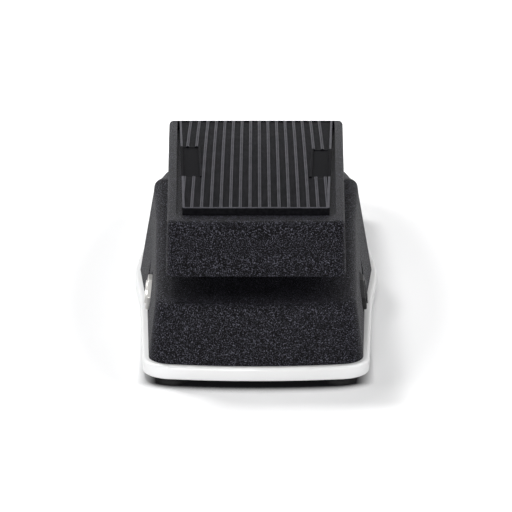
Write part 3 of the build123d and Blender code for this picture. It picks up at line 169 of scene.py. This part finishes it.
class HardwareSettings(PropertyGroup):
    """Colours of the metal and plastic pieces."""

    nickel: colour("Nickel", "Plated jack parts", (0.66, 0.65, 0.63))
    zinc: colour("Zinc", "Screws, shaft and washers", (0.6, 0.61, 0.61))
    nylon: colour("Nylon", "Bushings and rack guide", (0.78, 0.77, 0.72))
    acetal: colour("Acetal", "Rack and pinion", (0.03, 0.03, 0.033))
    board: colour("Board", "Insulation of the jacks and the potentiometer", (0.24, 0.105, 0.042))
    brass: colour("Brass", "Springs and terminals", (0.72, 0.55, 0.27))
    rubber: colour("Rubber", "Feet and bumpers", (0.012, 0.012, 0.012))
    thread_pitch: length("Thread pitch", "Thread of the jack necks", 0.79 * MM)
    thread_depth: length("Thread depth", "Depth of that thread", 0.22 * MM)


class StageSettings(PropertyGroup):
    """Floor, lights and camera."""

    target: FloatVectorProperty(
        name="Target", description="What the camera looks at", default=(0, 0, 0.014),
        subtype="TRANSLATION", unit="LENGTH",
    )
    distance: length("Distance", "Camera to target", 1.570)
    elevation: FloatProperty(
        name="Elevation", description="Camera above the floor", default=radians(17.5),
        subtype="ANGLE", unit="ROTATION",
    )
    lens: FloatProperty(name="Lens", description="Focal length in millimetres", default=262.8)
    floor: colour("Floor", "Colour of the floor", (0.96, 0.96, 0.965))
    fill: share("Fill", "Light of the surroundings", 0.06)


# ---- meshes from arrays -----------------------------------------------------------------


def finish_mesh(name, points, faces, material, body, sharp, worn_and_highlit=None):
    """Mesh object from arrays: doubles merged, normals outward, edges over sharp degrees kept.

    The last argument is a value for each point, which the tread's finish reads: wear plus a painted
    highlight.
    """
    mesh = bpy.data.meshes.new(name)
    mesh.from_pydata(points.tolist(), [], faces.tolist())
    if worn_and_highlit is not None:
        mesh.attributes.new("worn_and_highlit", "FLOAT", "POINT").data.foreach_set("value", worn_and_highlit)
    work = bmesh.new()
    work.from_mesh(mesh)
    bmesh.ops.remove_doubles(work, verts=work.verts, dist=1e-6)
    bmesh.ops.dissolve_degenerate(work, edges=work.edges, dist=1e-6)
    bmesh.ops.recalc_face_normals(work, faces=work.faces)
    work.to_mesh(mesh)
    work.free()
    mesh.shade_smooth()
    mesh.set_sharp_from_angle(angle=radians(sharp))
    mesh.materials.append(material)
    piece = bpy.data.objects.new(name, mesh)
    bpy.context.scene.collection.objects.link(piece)
    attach(piece, body)
    return piece


def grid_faces(rows, columns, wrap_rows=False, wrap_columns=False):
    """Quads over a rows x columns grid of points, wrapped round either way if asked."""
    down = np.arange(rows if wrap_rows else rows - 1)
    across = np.arange(columns if wrap_columns else columns - 1)
    row, column = np.meshgrid(down, across, indexing="ij")
    below, beside = (row + 1) % rows, (column + 1) % columns
    corners = (
        row * columns + column,
        row * columns + beside,
        below * columns + beside,
        below * columns + column,
    )
    return np.stack(corners, -1).reshape(-1, 4)


def two_sheets(top, bottom):
    """Points and quads of a slab: a top and a bottom grid joined by a wall round the border."""
    rows, columns = top.shape[:2]
    points = np.concatenate([top.reshape(-1, 3), bottom.reshape(-1, 3)])
    upper = grid_faces(rows, columns)
    index = np.arange(rows * columns).reshape(rows, columns)
    border = np.concatenate(
        [index[0, :-1], index[:-1, -1], index[-1, :0:-1], index[:0:-1, 0]]
    )
    after = np.roll(border, -1)
    shift = rows * columns
    wall = np.stack([border, border + shift, after + shift, after], -1)
    return points, np.concatenate([upper, upper[:, ::-1] + shift, wall])


def crown(height, slope, radius, y, drop=0.0):
    """Height of a circular arc at y: it has this height and fall at y = 0; drop lowers it."""
    run = radius * slope / sqrt(1 + slope**2)
    centre = height - sqrt(radius**2 - run**2)
    return centre + np.sqrt((radius - drop) ** 2 - (y + run) ** 2)


def soft_step(distance, width):
    """0 where distance is 0 or less, 1 beyond width, with round ends: 3t^2 - 2t^3."""
    t = np.clip(distance / width, 0, 1)
    return t * t * (3 - 2 * t)


# ---- shader building --------------------------------------------------------------------


class Finish:
    """A material under construction, on Object coordinates, round one Principled shader."""

    def __init__(self, name):
        self.material = bpy.data.materials.new(name)
        self.material.use_nodes = True
        self.tree = self.material.node_tree
        self.tree.nodes.clear()
        self.surface = self.add("ShaderNodeBsdfPrincipled")
        output = self.add("ShaderNodeOutputMaterial")
        self.tree.links.new(self.surface.outputs["BSDF"], output.inputs["Surface"])
        self.place = self.add("ShaderNodeTexCoord").outputs["Object"]

    def add(self, kind, links=(), **settings):
        """A node of this kind with its settings and its (input, source) links."""
        node = self.tree.nodes.new(kind)
        for key, value in settings.items():
            setattr(node, key, value)
        for key, source in links:
            self.put(node, key, source)
        return node

    def put(self, node, key, source):
        """Link a socket, or set a plain value, on one input of a node."""
        if isinstance(source, bpy.types.NodeSocket):
            self.tree.links.new(source, node.inputs[key])
        else:
            node.inputs[key].default_value = source

    def stretch(self, scale):
        """Object coordinates scaled by three numbers, for grain that runs one way."""
        return self.add("ShaderNodeMapping", [("Vector", self.place), ("Scale", scale)]).outputs[0]

    def noise(self, size, detail=2.0, roughness=0.5, place=None):
        """Noise whose blotches are about size metres across."""
        links = [
            ("Vector", place or self.place),
            ("Scale", 1 / size),
            ("Detail", detail),
            ("Roughness", roughness),
        ]
        return self.add("ShaderNodeTexNoise", links).outputs["Fac"]

    def cells(self, size):
        """Distance to the nearest of scattered cell points about size metres apart."""
        links = [("Vector", self.place), ("Scale", 1 / size)]
        return self.add("ShaderNodeTexVoronoi", links).outputs["Distance"]

    def ramp(self, source, low, high, start=0.0, end=1.0):
        """Map source from low..high to start..end, held at both ends."""
        links = [
            ("Value", source),
            ("From Min", low),
            ("From Max", high),
            ("To Min", start),
            ("To Max", end),
        ]
        return self.add("ShaderNodeMapRange", links).outputs[0]

    def blend(self, share_socket, first, second):
        """Mix two colours by a socket."""
        node = self.add("ShaderNodeMix", data_type="RGBA")
        self.put(node, 0, share_socket)
        self.put(node, 6, first if isinstance(first, bpy.types.NodeSocket) else (*first, 1))
        self.put(node, 7, second if isinstance(second, bpy.types.NodeSocket) else (*second, 1))
        return node.outputs[2]

    def sum(self, first, second, weight=1.0):
        """first plus weight times second."""
        links = [(0, second), (1, weight), (2, first)]
        return self.add("ShaderNodeMath", links, operation="MULTIPLY_ADD").outputs[0]

    def relief(self, height, distance, strength=1.0, round_edges=0.0):
        """Bump from a height socket; round_edges softens sharp edges by that radius."""
        links = [("Height", height), ("Distance", distance), ("Strength", strength)]
        bump = self.add("ShaderNodeBump", links)
        if round_edges:
            bevel = self.add("ShaderNodeBevel", [("Radius", round_edges)], samples=6)
            self.put(bump, "Normal", bevel.outputs[0])
        self.put(self.surface, "Normal", bump.outputs[0])

    def set(self, **values):
        """Set or link inputs of the Principled shader, with _ for the spaces of their names."""
        for key, value in values.items():
            name = key.replace("_", " ")
            if name == "Base Color" and not isinstance(value, bpy.types.NodeSocket):
                value = (*value, 1)
            self.put(self.surface, name, value)
        return self.material


# ---- finishes ---------------------------------------------------------------------------


def textured_coat(paint):
    """Wrinkled powder coat: pale flecks painted on the grain tops as glints, on a dark ground,
    duller in the hollows.
    """
    finish = Finish("textured_coat")
    grains = finish.noise(paint.grain, 3.0, 0.62)
    fine = finish.noise(paint.grain * 0.42, 2.0, 0.6)
    drift = finish.noise(22 * MM, 2.0)
    pits = finish.cells(paint.grain * 1.6)
    height = finish.sum(grains, fine, 0.45)
    height = finish.sum(height, pits, 0.35)
    # grain tops that get the painted glint
    painted_glint_tops = finish.ramp(finish.sum(grains, fine, 0.5), 0.79, 1.04)
    faded = [c * 1.35 for c in paint.coat]
    ground = finish.blend(finish.ramp(drift, 0.35, 0.65), paint.coat, faded)
    finish.relief(height, paint.grain_height, 1.0)
    return finish.set(
        Base_Color=finish.blend(painted_glint_tops, ground, paint.glint_fleck),
        Roughness=finish.ramp(fine, 0.3, 0.7, 0.58, 0.4),
        Specular_IOR_Level=0.05,
    )


def tray_enamel(paint):
    """Smooth white enamel with a faint orange-peel surface and slightly warmer drifts."""
    finish = Finish("tray_enamel")
    peel = finish.noise(1.8 * MM, 2.0)
    drift = finish.noise(30 * MM, 3.0)
    specks = finish.ramp(finish.noise(0.5 * MM, 1.0), 0.78, 0.86)
    shade = [c * f for c, f in zip(paint.tray, (0.985, 0.98, 0.965))]
    tone = finish.blend(finish.ramp(drift, 0.35, 0.7), paint.tray, shade)
    finish.relief(peel, 0.03 * MM, 0.35)
    return finish.set(
        Base_Color=finish.blend(specks, tone, (0.72, 0.72, 0.71)),
        Roughness=finish.ramp(drift, 0.3, 0.7, 0.3, 0.38),
        Coat_Weight=0.25,
        Coat_Roughness=0.12,
    )


def tread_rubber(tread):
    """Tread rubber: paler on the ribs and the rim, from wear and a painted highlight on their
    shoulders and edges; dark between them and in the panels.
    """
    finish = Finish("tread_rubber_finish")
    worn_and_highlit = finish.add("ShaderNodeAttribute", attribute_name="worn_and_highlit").outputs["Fac"]
    mould = finish.noise(0.3 * MM, 2.0, 0.55)
    patches = finish.noise(7 * MM, 3.0, 0.6)
    streaks = finish.noise(1.2 * MM, 2.0, 0.5, finish.stretch((1.0, 0.06, 1.0)))
    # wear plus the painted highlight of the ribs and the rim, broken by random patches
    rubbed_and_highlit = finish.sum(worn_and_highlit, finish.sum(patches, mould, 0.6), 0.55)
    ground = finish.blend(finish.ramp(streaks, 0.35, 0.75), tread.rubber, tread.rubber_dusty)
    ground = finish.blend(finish.ramp(worn_and_highlit, -1.0, -0.2), tread.rubber, ground)
    finish.relief(finish.sum(mould, streaks, 0.4), 0.05 * MM, 0.6)
    return finish.set(
        Base_Color=finish.blend(finish.ramp(rubbed_and_highlit, 0.55, 1.5), ground, tread.rubber_worn_and_highlit),
        Roughness=finish.ramp(rubbed_and_highlit, 0.3, 1.4, 0.66, 0.42),
        Specular_IOR_Level=0.012,
    )


def moulded_rubber(name, tone, grain, shine):
    """Moulded rubber: fine mould grain, bloom in drifts, and faint flow streaks."""
    finish = Finish(name)
    mould = finish.noise(grain, 2.0, 0.55)
    bloom = finish.noise(9 * MM, 3.0, 0.6)
    streaks = finish.noise(1.6 * MM, 2.0, 0.5, finish.stretch((1.0, 0.08, 1.0)))
    dusty = [min(c * 1.8 + 0.006, 1) for c in tone]
    colour_mix = finish.blend(finish.ramp(bloom, 0.4, 0.75), tone, dusty)
    height = finish.sum(mould, streaks, 0.4)
    finish.relief(height, 0.05 * MM, 0.6)
    return finish.set(
        Base_Color=colour_mix,
        Roughness=finish.ramp(finish.sum(bloom, mould, 0.4), 0.4, 0.9, shine, shine + 0.16),
        Specular_IOR_Level=0.08,
    )


def plated_metal(name, tone, roughness, grain, direction=(1, 1, 1)):
    """Plated metal with a drawn or rolled grain, stains in drifts and softened edges."""
    finish = Finish(name)
    lines = finish.noise(grain * MM, 2.0, 0.6, finish.stretch(direction))
    stain = finish.noise(6 * MM, 3.0, 0.55)
    dull = [c * 0.78 for c in tone]
    finish.relief(lines, 0.02 * MM, 0.35, 0.15 * MM)
    return finish.set(
        Base_Color=finish.blend(finish.ramp(stain, 0.4, 0.75, 0.0, 0.6), tone, dull),
        Metallic=1.0,
        Roughness=finish.ramp(finish.sum(lines, stain, 0.7), 0.5, 1.1, roughness, roughness + 0.13),
    )


def moulded_plastic(name, tone, roughness, soft=0.0):
    """Moulded plastic: faint flow marks, a fine spark-eroded grain and softened edges."""
    finish = Finish(name)
    grain = finish.noise(0.25 * MM, 2.0)
    flow = finish.noise(7 * MM, 3.0, 0.6)
    finish.relief(finish.sum(grain, flow, 0.5), 0.025 * MM, 0.5, 0.15 * MM)
    return finish.set(
        Base_Color=finish.blend(finish.ramp(flow, 0.35, 0.7), tone, [c * 0.86 for c in tone]),
        Roughness=finish.ramp(grain, 0.3, 0.7, roughness, roughness + 0.1),
        Subsurface_Weight=soft,
        Subsurface_Scale=1.5 * MM,
    )


def fibre_board(name, tone):
    """Resin board: crossed cloth lines in brown resin with a dull skin."""
    finish = Finish(name)
    warp = finish.noise(0.3 * MM, 1.0, 0.5, finish.stretch((0.15, 1.0, 1.0)))
    weft = finish.noise(0.3 * MM, 1.0, 0.5, finish.stretch((1.0, 0.15, 1.0)))
    cloth = finish.sum(warp, weft)
    finish.relief(cloth, 0.03 * MM, 0.6, 0.1 * MM)
    shades = finish.ramp(cloth, 0.75, 1.25)
    return finish.set(
        Base_Color=finish.blend(shades, [c * 0.6 for c in tone], [min(c * 1.5, 1) for c in tone]),
        Roughness=finish.ramp(cloth, 0.7, 1.3, 0.42, 0.6),
    )


def wire_cover(name, tone):
    """Extruded insulation: glossy, with faint rings and dust."""
    finish = Finish(name)
    rings = finish.noise(0.6 * MM, 2.0)
    dust = finish.noise(4 * MM, 3.0, 0.6)
    finish.relief(rings, 0.02 * MM, 0.5)
    return finish.set(
        Base_Color=finish.blend(finish.ramp(dust, 0.45, 0.8), tone, [c * 0.8 + 0.02 for c in tone]),
        Roughness=finish.ramp(dust, 0.3, 0.7, 0.28, 0.42),
    )


def dress(slots, material):
    """Give every carried-over node of these record slots this material."""
    for subpart in frame["record"]["subparts"]:
        if subpart["material_slot"] in slots:
            for holder in frame["nodes"][subpart["node"]].material_slots:
                holder.material = material


# ---- pieces -----------------------------------------------------------------------------


def tread_half(tread, y):
    """Half width of the tread at y: even taper, rounded off over the corner radius."""
    low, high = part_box("tread_pad")
    part = (y - low.y) / (high.y - low.y)
    half = tread.toe_half + (tread.heel_half - tread.toe_half) * part
    into = tread.corner - np.minimum(np.minimum(y - low.y, high.y - y), tread.corner)
    return half - (tread.corner - np.sqrt(np.maximum(tread.corner**2 - into**2, 0)))


def rib_stations(tread):
    """X stations and heights of the ribs: a foot, a round shoulder and a flat top on each."""
    across = np.array([-0.5, -0.44, -0.37, -0.27, 0.0, 0.27, 0.37, 0.44, 0.5]) * tread.rib_width
    rise = np.array([0.0, 0.45, 0.82, 1.0, 1.0, 1.0, 0.82, 0.45, 0.0]) * tread.rib_height
    centres = tread.rib_first + tread.rib_pitch * np.arange(tread.rib_count)
    x = (centres[:, None] + across[None, :]).ravel()
    return x, np.tile(rise, tread.rib_count)


def panels(tread):
    """The two plain panels as (side, toe end, heel end)."""
    return (
        (-1, tread.panel_left_toe, tread.panel_left_heel),
        (1, tread.panel_right_toe, tread.panel_right_heel),
    )


def panel_share(tread, x, y):
    """1 inside a panel's outline and 0 outside, with a short slope at the ends and inner side."""
    inside = np.zeros(np.broadcast(x, y).shape)
    for side, toe, heel in panels(tread):
        inner = tread_half(tread, y) - tread.rim_width - tread.panel_width
        across = soft_step(side * x - inner + PANEL_SLOPE, PANEL_SLOPE)
        nearest = np.minimum(y - toe, heel - y) + PANEL_SLOPE
        along = soft_step(nearest, PANEL_SLOPE)
        inside = np.maximum(inside, across * along)
    return inside


def ribbed_tread(tread, material):
    """Rubber tread. Top height = crown arc - rib height + the larger of rim and rib profile.

    Rows run along Y, columns across X. Columns beyond the tapered edge are held at the edge,
    so ribs run straight and are cut off by it. A flat sheet below and a wall close the slab.
    """
    low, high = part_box("tread_pad")
    rim = np.array([0.0, 0.03, 0.1, 0.22, 0.5, 0.78, 0.9, 1.0]) * tread.rim_width
    rim_rise = np.array([-0.6, -0.28, -0.06, 1.0, 1.0, 1.0, 0.55, 0.0])
    rim_rise[:3] += 1.0
    ends = tread.corner * (1 - np.cos(np.linspace(0, pi / 2, 7)))
    stations = np.concatenate([ends, rim, [tread.rim_width + 1.5 * MM]])
    cuts = []
    for _, toe, heel in panels(tread):
        cuts += [toe - PANEL_SLOPE, toe, heel, heel + PANEL_SLOPE]
    y = np.unique(
        np.concatenate(
            [low.y + stations, high.y - stations, np.linspace(low.y, high.y, TREAD_ROWS), cuts]
        ).round(7)
    )
    half = tread_half(tread, y)
    rib_x, rib_rise = rib_stations(tread)
    gap_x = tread.rib_first + tread.rib_pitch * (np.arange(-1, tread.rib_count) + 0.5)
    edge_x = np.linspace(-tread.heel_half, tread.heel_half, TREAD_COLUMNS)
    inner_x = np.unique(np.concatenate([rib_x, gap_x, edge_x]).round(7))
    limit = half - tread.rim_width
    middle = np.clip(inner_x[None, :], -limit[:, None], limit[:, None])
    x = np.concatenate(
        [-half[:, None] + rim[None, :-1], middle, half[:, None] - rim[None, -2::-1]], axis=1
    )
    yy = np.repeat(y[:, None], x.shape[1], axis=1)
    ribs = np.interp(x, rib_x, rib_rise, left=0, right=0) / tread.rib_height
    sunk = panel_share(tread, x, yy)
    ribs = ribs * (1 - sunk) - PANEL_DEPTH * sunk
    edge = np.minimum.reduce([half[:, None] - np.abs(x), yy - low.y, high.y - yy])
    border = np.interp(edge, rim, rim_rise)
    border[edge > tread.rim_width] = -1
    rise = np.maximum(ribs, border)
    rise = np.where(edge < rim[3], border, rise)
    top = crown(tread.crown_height, tread.crown_slope, tread.crown_radius, yy)
    top = top - (1 - rise) * tread.rib_height
    under = crown(
        tread.crown_height, tread.crown_slope, tread.crown_radius, yy, tread.thickness
    )
    points, faces = two_sheets(np.stack([x, yy, top], -1), np.stack([x, yy, under], -1))
    # Wear plus a painted highlight: the rib shoulders and the rim get a paler colour that stands in
    # for light catching their edges; the panels are marked to stay dark.
    wear_and_highlight = np.interp(x, rib_x, np.tile(RIB_WEAR_AND_HIGHLIGHT, tread.rib_count), left=0, right=0)
    on_rim = (edge > rim[1] / 2) & (edge < rim[-1] * RIM_WORN_AND_HIGHLIT_PART)
    wear_and_highlight = np.maximum(wear_and_highlight * (1 - sunk), np.where(on_rim, RIM_WEAR_AND_HIGHLIGHT, 0))
    wear_and_highlight = np.where(sunk > 0.5, PANEL_WEAR, wear_and_highlight) * (edge > rim[1] / 2)
    worn_and_highlit = np.concatenate([wear_and_highlight.ravel(), np.zeros(wear_and_highlight.size)])
    piece = finish_mesh(
        "ribbed_tread", points, faces, material, "treadle", 50, worn_and_highlit
    )
    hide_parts("tread_pad")


def panel_line(tread, side, toe, heel, material):
    """Raised line along a panel's inner side: a half-round section swept beside the taper."""
    y = np.linspace(toe, heel, 30)
    inner = tread_half(tread, y) - tread.rim_width - tread.panel_width - PANEL_LINE_GAP
    angle = np.linspace(0, pi, 9)
    across = PANEL_LINE_RADIUS * np.cos(angle)
    rise = PANEL_LINE_RADIUS * np.sin(angle) ** 0.7
    ground = crown(tread.crown_height, tread.crown_slope, tread.crown_radius, y) - tread.rib_height
    x = side * (inner[:, None] + across[None, :])
    yy = np.repeat(y[:, None], angle.size, axis=1)
    top = np.stack([x, yy, ground[:, None] + rise[None, :] - 0.02 * MM], -1)
    foot = np.stack([x, yy, np.repeat(ground[:, None], angle.size, 1) - 0.5 * MM], -1)
    points, faces = two_sheets(top, foot)
    label = "left" if side < 0 else "right"
    finish_mesh(
        f"tread_panel_line_{label}", points, faces, material, "treadle", 50
    )


def neck_thread(name, mouth, axis, radius, hardware, material):
    """Thread crest round a jack neck: a triangular ridge carried along a helix.

    Point = mouth - depth * axis + r * (cos a, sin a) in the plane across the axis; depth
    grows by half a pitch a turn, and the ridge fades in and out at its ends.
    """
    side = axis.orthogonal().normalized()
    other = axis.cross(side)
    angle = np.linspace(0, 2 * pi * THREAD_TURNS, 61)
    section = np.array([(-0.32, -0.3), (0.0, 1.0), (0.32, -0.3), (0.0, -0.6)])
    fade = soft_step(np.minimum(angle, angle[-1] - angle), 0.5)
    out = radius + hardware.thread_depth * 0.5 * section[None, :, 1] * fade[:, None]
    depth = THREAD_START + hardware.thread_pitch * (
        angle[:, None] / (2 * pi) * THREAD_LEAD
        + THREAD_RIDGE * section[None, :, 0] * fade[:, None]
        + THREAD_SETBACK
    )
    turn = angle[:, None, None]
    ring = np.cos(turn) * np.array(side) + np.sin(turn) * np.array(other)
    points = np.array(mouth) - depth[..., None] * np.array(axis) + out[..., None] * ring
    faces = grid_faces(angle.size, 4, wrap_columns=True)
    caps = np.array([[3, 2, 1, 0], [angle.size * 4 - 4 + k for k in range(4)]])
    finish_mesh(
        name, points.reshape(-1, 3), np.concatenate([faces, caps]), material, "base", 60
    )


# ---- operators --------------------------------------------------------------------------


class PEDAL_OT_castings(Operator):
    """Textured coat on the housing, the treadle and the bearing caps."""

    bl_idname = "pedal.castings"
    bl_label = "Housing and treadle"

    def execute(self, context):
        dress(["textured_black_paint"], textured_coat(context.scene.pedal_paint))
        return {"FINISHED"}


class PEDAL_OT_tray(Operator):
    """White enamel on the base tray."""

    bl_idname = "pedal.tray"
    bl_label = "Base tray"

    def execute(self, context):
        dress(["white_paint"], tray_enamel(context.scene.pedal_paint))
        return {"FINISHED"}


class PEDAL_OT_tread(Operator):
    """Ribbed rubber tread with its rim and two plain panels."""

    bl_idname = "pedal.tread"
    bl_label = "Tread"

    def execute(self, context):
        tread = context.scene.pedal_tread
        material = tread_rubber(tread)
        ribbed_tread(tread, material)
        for side, toe, heel in panels(tread):
            panel_line(tread, side, toe, heel, material)
        return {"FINISHED"}


class PEDAL_OT_rubbers(Operator):
    """Feet and bumpers."""

    bl_idname = "pedal.rubbers"
    bl_label = "Feet and bumpers"

    def execute(self, context):
        rubber = moulded_rubber("foot_rubber", context.scene.pedal_hardware.rubber, 0.5 * MM, 0.6)
        dress(["black_rubber"], rubber)
        return {"FINISHED"}


class PEDAL_OT_jacks(Operator):
    """Jack frames, nuts and washers, with the thread of their necks."""

    bl_idname = "pedal.jacks"
    bl_label = "Jacks"

    def execute(self, context):
        hardware = context.scene.pedal_hardware
        nickel = plated_metal("satin_nickel", hardware.nickel, 0.26, 0.3)
        black = moulded_plastic("black_nylon", BLACK, 0.42)
        dress(["nickel"], nickel)
        dress(["black_plastic"], black)
        for mount in frame["record"]["mounts"]:
            if mount["kind"] != "bore":
                continue
            axis = Vector(mount["axis"]).normalized()
            mouth = Vector(mount["pos_m"]) + axis * mount["dims"]["length_mm"] * MM / 2
            material, slot = (nickel, "nickel") if axis.x < 0 else (black, "black_plastic")
            neck_thread(
                mount["name"] + "_neck_thread",
                mouth,
                axis,
                JACK_NECK_RADIUS,
                hardware,
                material,
            )
        return {"FINISHED"}


class PEDAL_OT_linkage(Operator):
    """Shaft, screws, bushings, rack, pinion, potentiometer and bracket."""

    bl_idname = "pedal.linkage"
    bl_label = "Linkage"

    def execute(self, context):
        hardware = context.scene.pedal_hardware
        dress(["zinc_steel"], plated_metal("bright_zinc", hardware.zinc, 0.28, 0.2))
        dress(
            ["plated_steel"],
            plated_metal("rolled_steel", [c * 0.93 for c in hardware.zinc], 0.3, 0.5, (0.1, 1, 1)),
        )
        dress(["white_nylon"], moulded_plastic("white_nylon_finish", hardware.nylon, 0.4, 0.15))
        dress(["acetal"], moulded_plastic("black_acetal", hardware.acetal, 0.3))
        dress(["phenolic"], fibre_board("resin_board", hardware.board))
        dress(["brass"], plated_metal("spring_brass", hardware.brass, 0.25, 0.25, (1, 0.2, 1)))
        return {"FINISHED"}


class PEDAL_OT_wires(Operator):
    """Insulation of the hook-up wires."""

    bl_idname = "pedal.wires"
    bl_label = "Wires"

    def execute(self, context):
        dress(["wire_red"], wire_cover("red_insulation", (0.42, 0.02, 0.018)))
        dress(["wire_white"], wire_cover("white_insulation", (0.72, 0.71, 0.68)))
        dress(["wire_black"], wire_cover("black_insulation", BLACK))
        return {"FINISHED"}


def surroundings(fill):
    """World: white where the camera, gloss or glass looks, and a plain fill light otherwise."""
    world = bpy.data.worlds.new("surroundings")
    bpy.context.scene.world = world
    world.use_nodes = True
    tree = world.node_tree
    tree.nodes.clear()
    path = tree.nodes.new("ShaderNodeLightPath")
    seen = path.outputs["Is Camera Ray"]
    for name in ("Is Glossy Ray", "Is Transmission Ray"):
        join = tree.nodes.new("ShaderNodeMath")
        join.operation = "MAXIMUM"
        tree.links.new(seen, join.inputs[0])
        tree.links.new(path.outputs[name], join.inputs[1])
        seen = join.outputs[0]
    mix = tree.nodes.new("ShaderNodeMixShader")
    tree.links.new(seen, mix.inputs[0])
    for slot_number, strength in ((1, fill), (2, 1.0)):
        light = tree.nodes.new("ShaderNodeBackground")
        light.inputs["Color"].default_value = (1, 1, 1, 1)
        light.inputs["Strength"].default_value = strength
        tree.links.new(light.outputs[0], mix.inputs[slot_number])
    output = tree.nodes.new("ShaderNodeOutputWorld")
    tree.links.new(mix.outputs[0], output.inputs["Surface"])


def floor_finish(tone):
    """Matte floor that keeps its shadow near the pedal and fades to plain white further out.

    A contact shadow is painted into its colour under the pedal and close before its two ends, and
    not beside it.
    """
    finish = Finish("floor_paper")
    fibres = finish.noise(3 * MM, 2.0)
    finish.relief(fibres, 0.02 * MM, 0.2)
    # Painted contact shadow: ambient occlusion darkens the floor's colour, ended beside the pedal.
    painted_shadow_occlusion = finish.add("ShaderNodeAmbientOcclusion", [("Distance", FLOOR_CLOSE)], samples=16)
    clear = finish.add(
        "ShaderNodeMath",
        [(0, painted_shadow_occlusion.outputs["AO"]), (1, FLOOR_CLOSE_POWER)],
        operation="POWER",
    )
    aside = finish.add(
        "ShaderNodeVectorMath", [(0, finish.stretch((1.0, 0.0, 0.0)))], operation="LENGTH"
    )
    outside_painted_shadow = finish.add(
        "ShaderNodeMath",
        [
            (0, finish.ramp(clear.outputs[0], *FLOOR_CLOSE_RANGE)),
            (1, finish.ramp(aside.outputs["Value"], *FLOOR_CLOSE_SIDE)),
        ],
        operation="MAXIMUM",
    ).outputs[0]
    finish.set(
        Base_Color=finish.blend(outside_painted_shadow, FLOOR_PAINTED_SHADOW_TONE, tone),
        Roughness=0.9,
        Specular_IOR_Level=0.0,
    )
    path = finish.add("ShaderNodeLightPath")
    away = finish.add(
        "ShaderNodeVectorMath", [(0, finish.stretch(FLOOR_FADE_SHAPE))], operation="LENGTH"
    )
    lift = finish.ramp(away.outputs["Value"], *FLOOR_FADE, *FLOOR_GLOW)
    # the camera's extra light is held back where the shadow is painted
    near = finish.add("ShaderNodeMath", [(0, outside_painted_shadow), (1, lift)], operation="MULTIPLY")
    part = finish.add(
        "ShaderNodeMath",
        [(0, path.outputs["Is Camera Ray"]), (1, near.outputs[0])],
        operation="MULTIPLY",
    )
    white = finish.add(
        "ShaderNodeEmission", [("Color", (1, 1, 1, 1)), ("Strength", part.outputs[0])]
    )
    mix = finish.add("ShaderNodeAddShader")
    finish.put(mix, 0, finish.surface.outputs["BSDF"])
    finish.put(mix, 1, white.outputs[0])
    output = next(n for n in finish.tree.nodes if n.type == "OUTPUT_MATERIAL")
    finish.put(output, "Surface", mix.outputs[0])
    return finish.material


def softbox(name, place, aim, width, height, power):
    """A rectangular area light at place that faces aim."""
    light = bpy.data.lights.new(name, "AREA")
    light.shape = "RECTANGLE"
    light.size, light.size_y, light.energy = width, height, power
    holder = bpy.data.objects.new(name, light)
    holder.location = place
    holder.rotation_euler = (Vector(aim) - Vector(place)).to_track_quat("-Z", "Y").to_euler()
    bpy.context.scene.collection.objects.link(holder)


class PEDAL_OT_stage(Operator):
    """Camera, soft lights, white surroundings and a pale floor."""

    bl_idname = "pedal.stage"
    bl_label = "Stage"

    def execute(self, context):
        stage = context.scene.pedal_stage
        camera = bpy.data.cameras.new("camera")
        camera.lens = stage.lens
        camera.clip_end = CAMERA_REACH
        viewer = bpy.data.objects.new("camera", camera)
        target = Vector(stage.target)
        back = Vector((0, -cos(stage.elevation), sin(stage.elevation)))
        viewer.location = target + back * stage.distance
        viewer.rotation_euler = (-back).to_track_quat("-Z", "Y").to_euler()
        context.scene.collection.objects.link(viewer)
        context.scene.camera = viewer
        context.scene.view_settings.view_transform = "Standard"

        surroundings(stage.fill)
        for lamp in LAMPS:
            softbox(*lamp)

        reach = np.linspace(-FLOOR_REACH, FLOOR_REACH, FLOOR_POINTS)
        x, y = np.meshgrid(reach, reach, indexing="xy")
        points = np.stack([x, y, np.zeros_like(x)], -1).reshape(-1, 3)
        mesh = bpy.data.meshes.new("floor")
        faces = grid_faces(FLOOR_POINTS, FLOOR_POINTS)
        mesh.from_pydata(points.tolist(), [], faces.tolist())
        mesh.materials.append(floor_finish(stage.floor))
        floor = bpy.data.objects.new("floor", mesh)
        context.scene.collection.objects.link(floor)
        return {"FINISHED"}


OPERATORS = (
    PEDAL_OT_stage,
    PEDAL_OT_castings,
    PEDAL_OT_tray,
    PEDAL_OT_tread,
    PEDAL_OT_rubbers,
    PEDAL_OT_jacks,
    PEDAL_OT_linkage,
    PEDAL_OT_wires,
)
SETTINGS = {
    "pedal_tread": TreadSettings,
    "pedal_paint": PaintSettings,
    "pedal_hardware": HardwareSettings,
    "pedal_stage": StageSettings,
}


class PEDAL_PT_panel(Panel):
    """Lists the pieces of the pedal and their settings."""

    bl_idname = "PEDAL_PT_panel"
    bl_label = "Volume pedal"
    bl_space_type = "VIEW_3D"
    bl_region_type = "UI"
    bl_category = "Pedal"

    def draw(self, context):
        for operator in OPERATORS:
            self.layout.operator(operator.bl_idname)
        for name, group in SETTINGS.items():
            box = self.layout.box()
            for key in group.__annotations__:
                box.prop(getattr(context.scene, name), key)


CLASSES = (*SETTINGS.values(), *OPERATORS, PEDAL_PT_panel)


def register():
    for item in CLASSES:
        bpy.utils.register_class(item)
    for name, group in SETTINGS.items():
        setattr(bpy.types.Scene, name, PointerProperty(type=group))


def unregister():
    for name in SETTINGS:
        delattr(bpy.types.Scene, name)
    for item in reversed(CLASSES):
        bpy.utils.unregister_class(item)


def main():
    """Register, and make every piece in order."""
    register()
    for operator in OPERATORS:
        module, name = operator.bl_idname.split(".")
        getattr(getattr(bpy.ops, module), name)()
    bpy.context.view_layer.update()


if __name__ == "__main__":
    main()
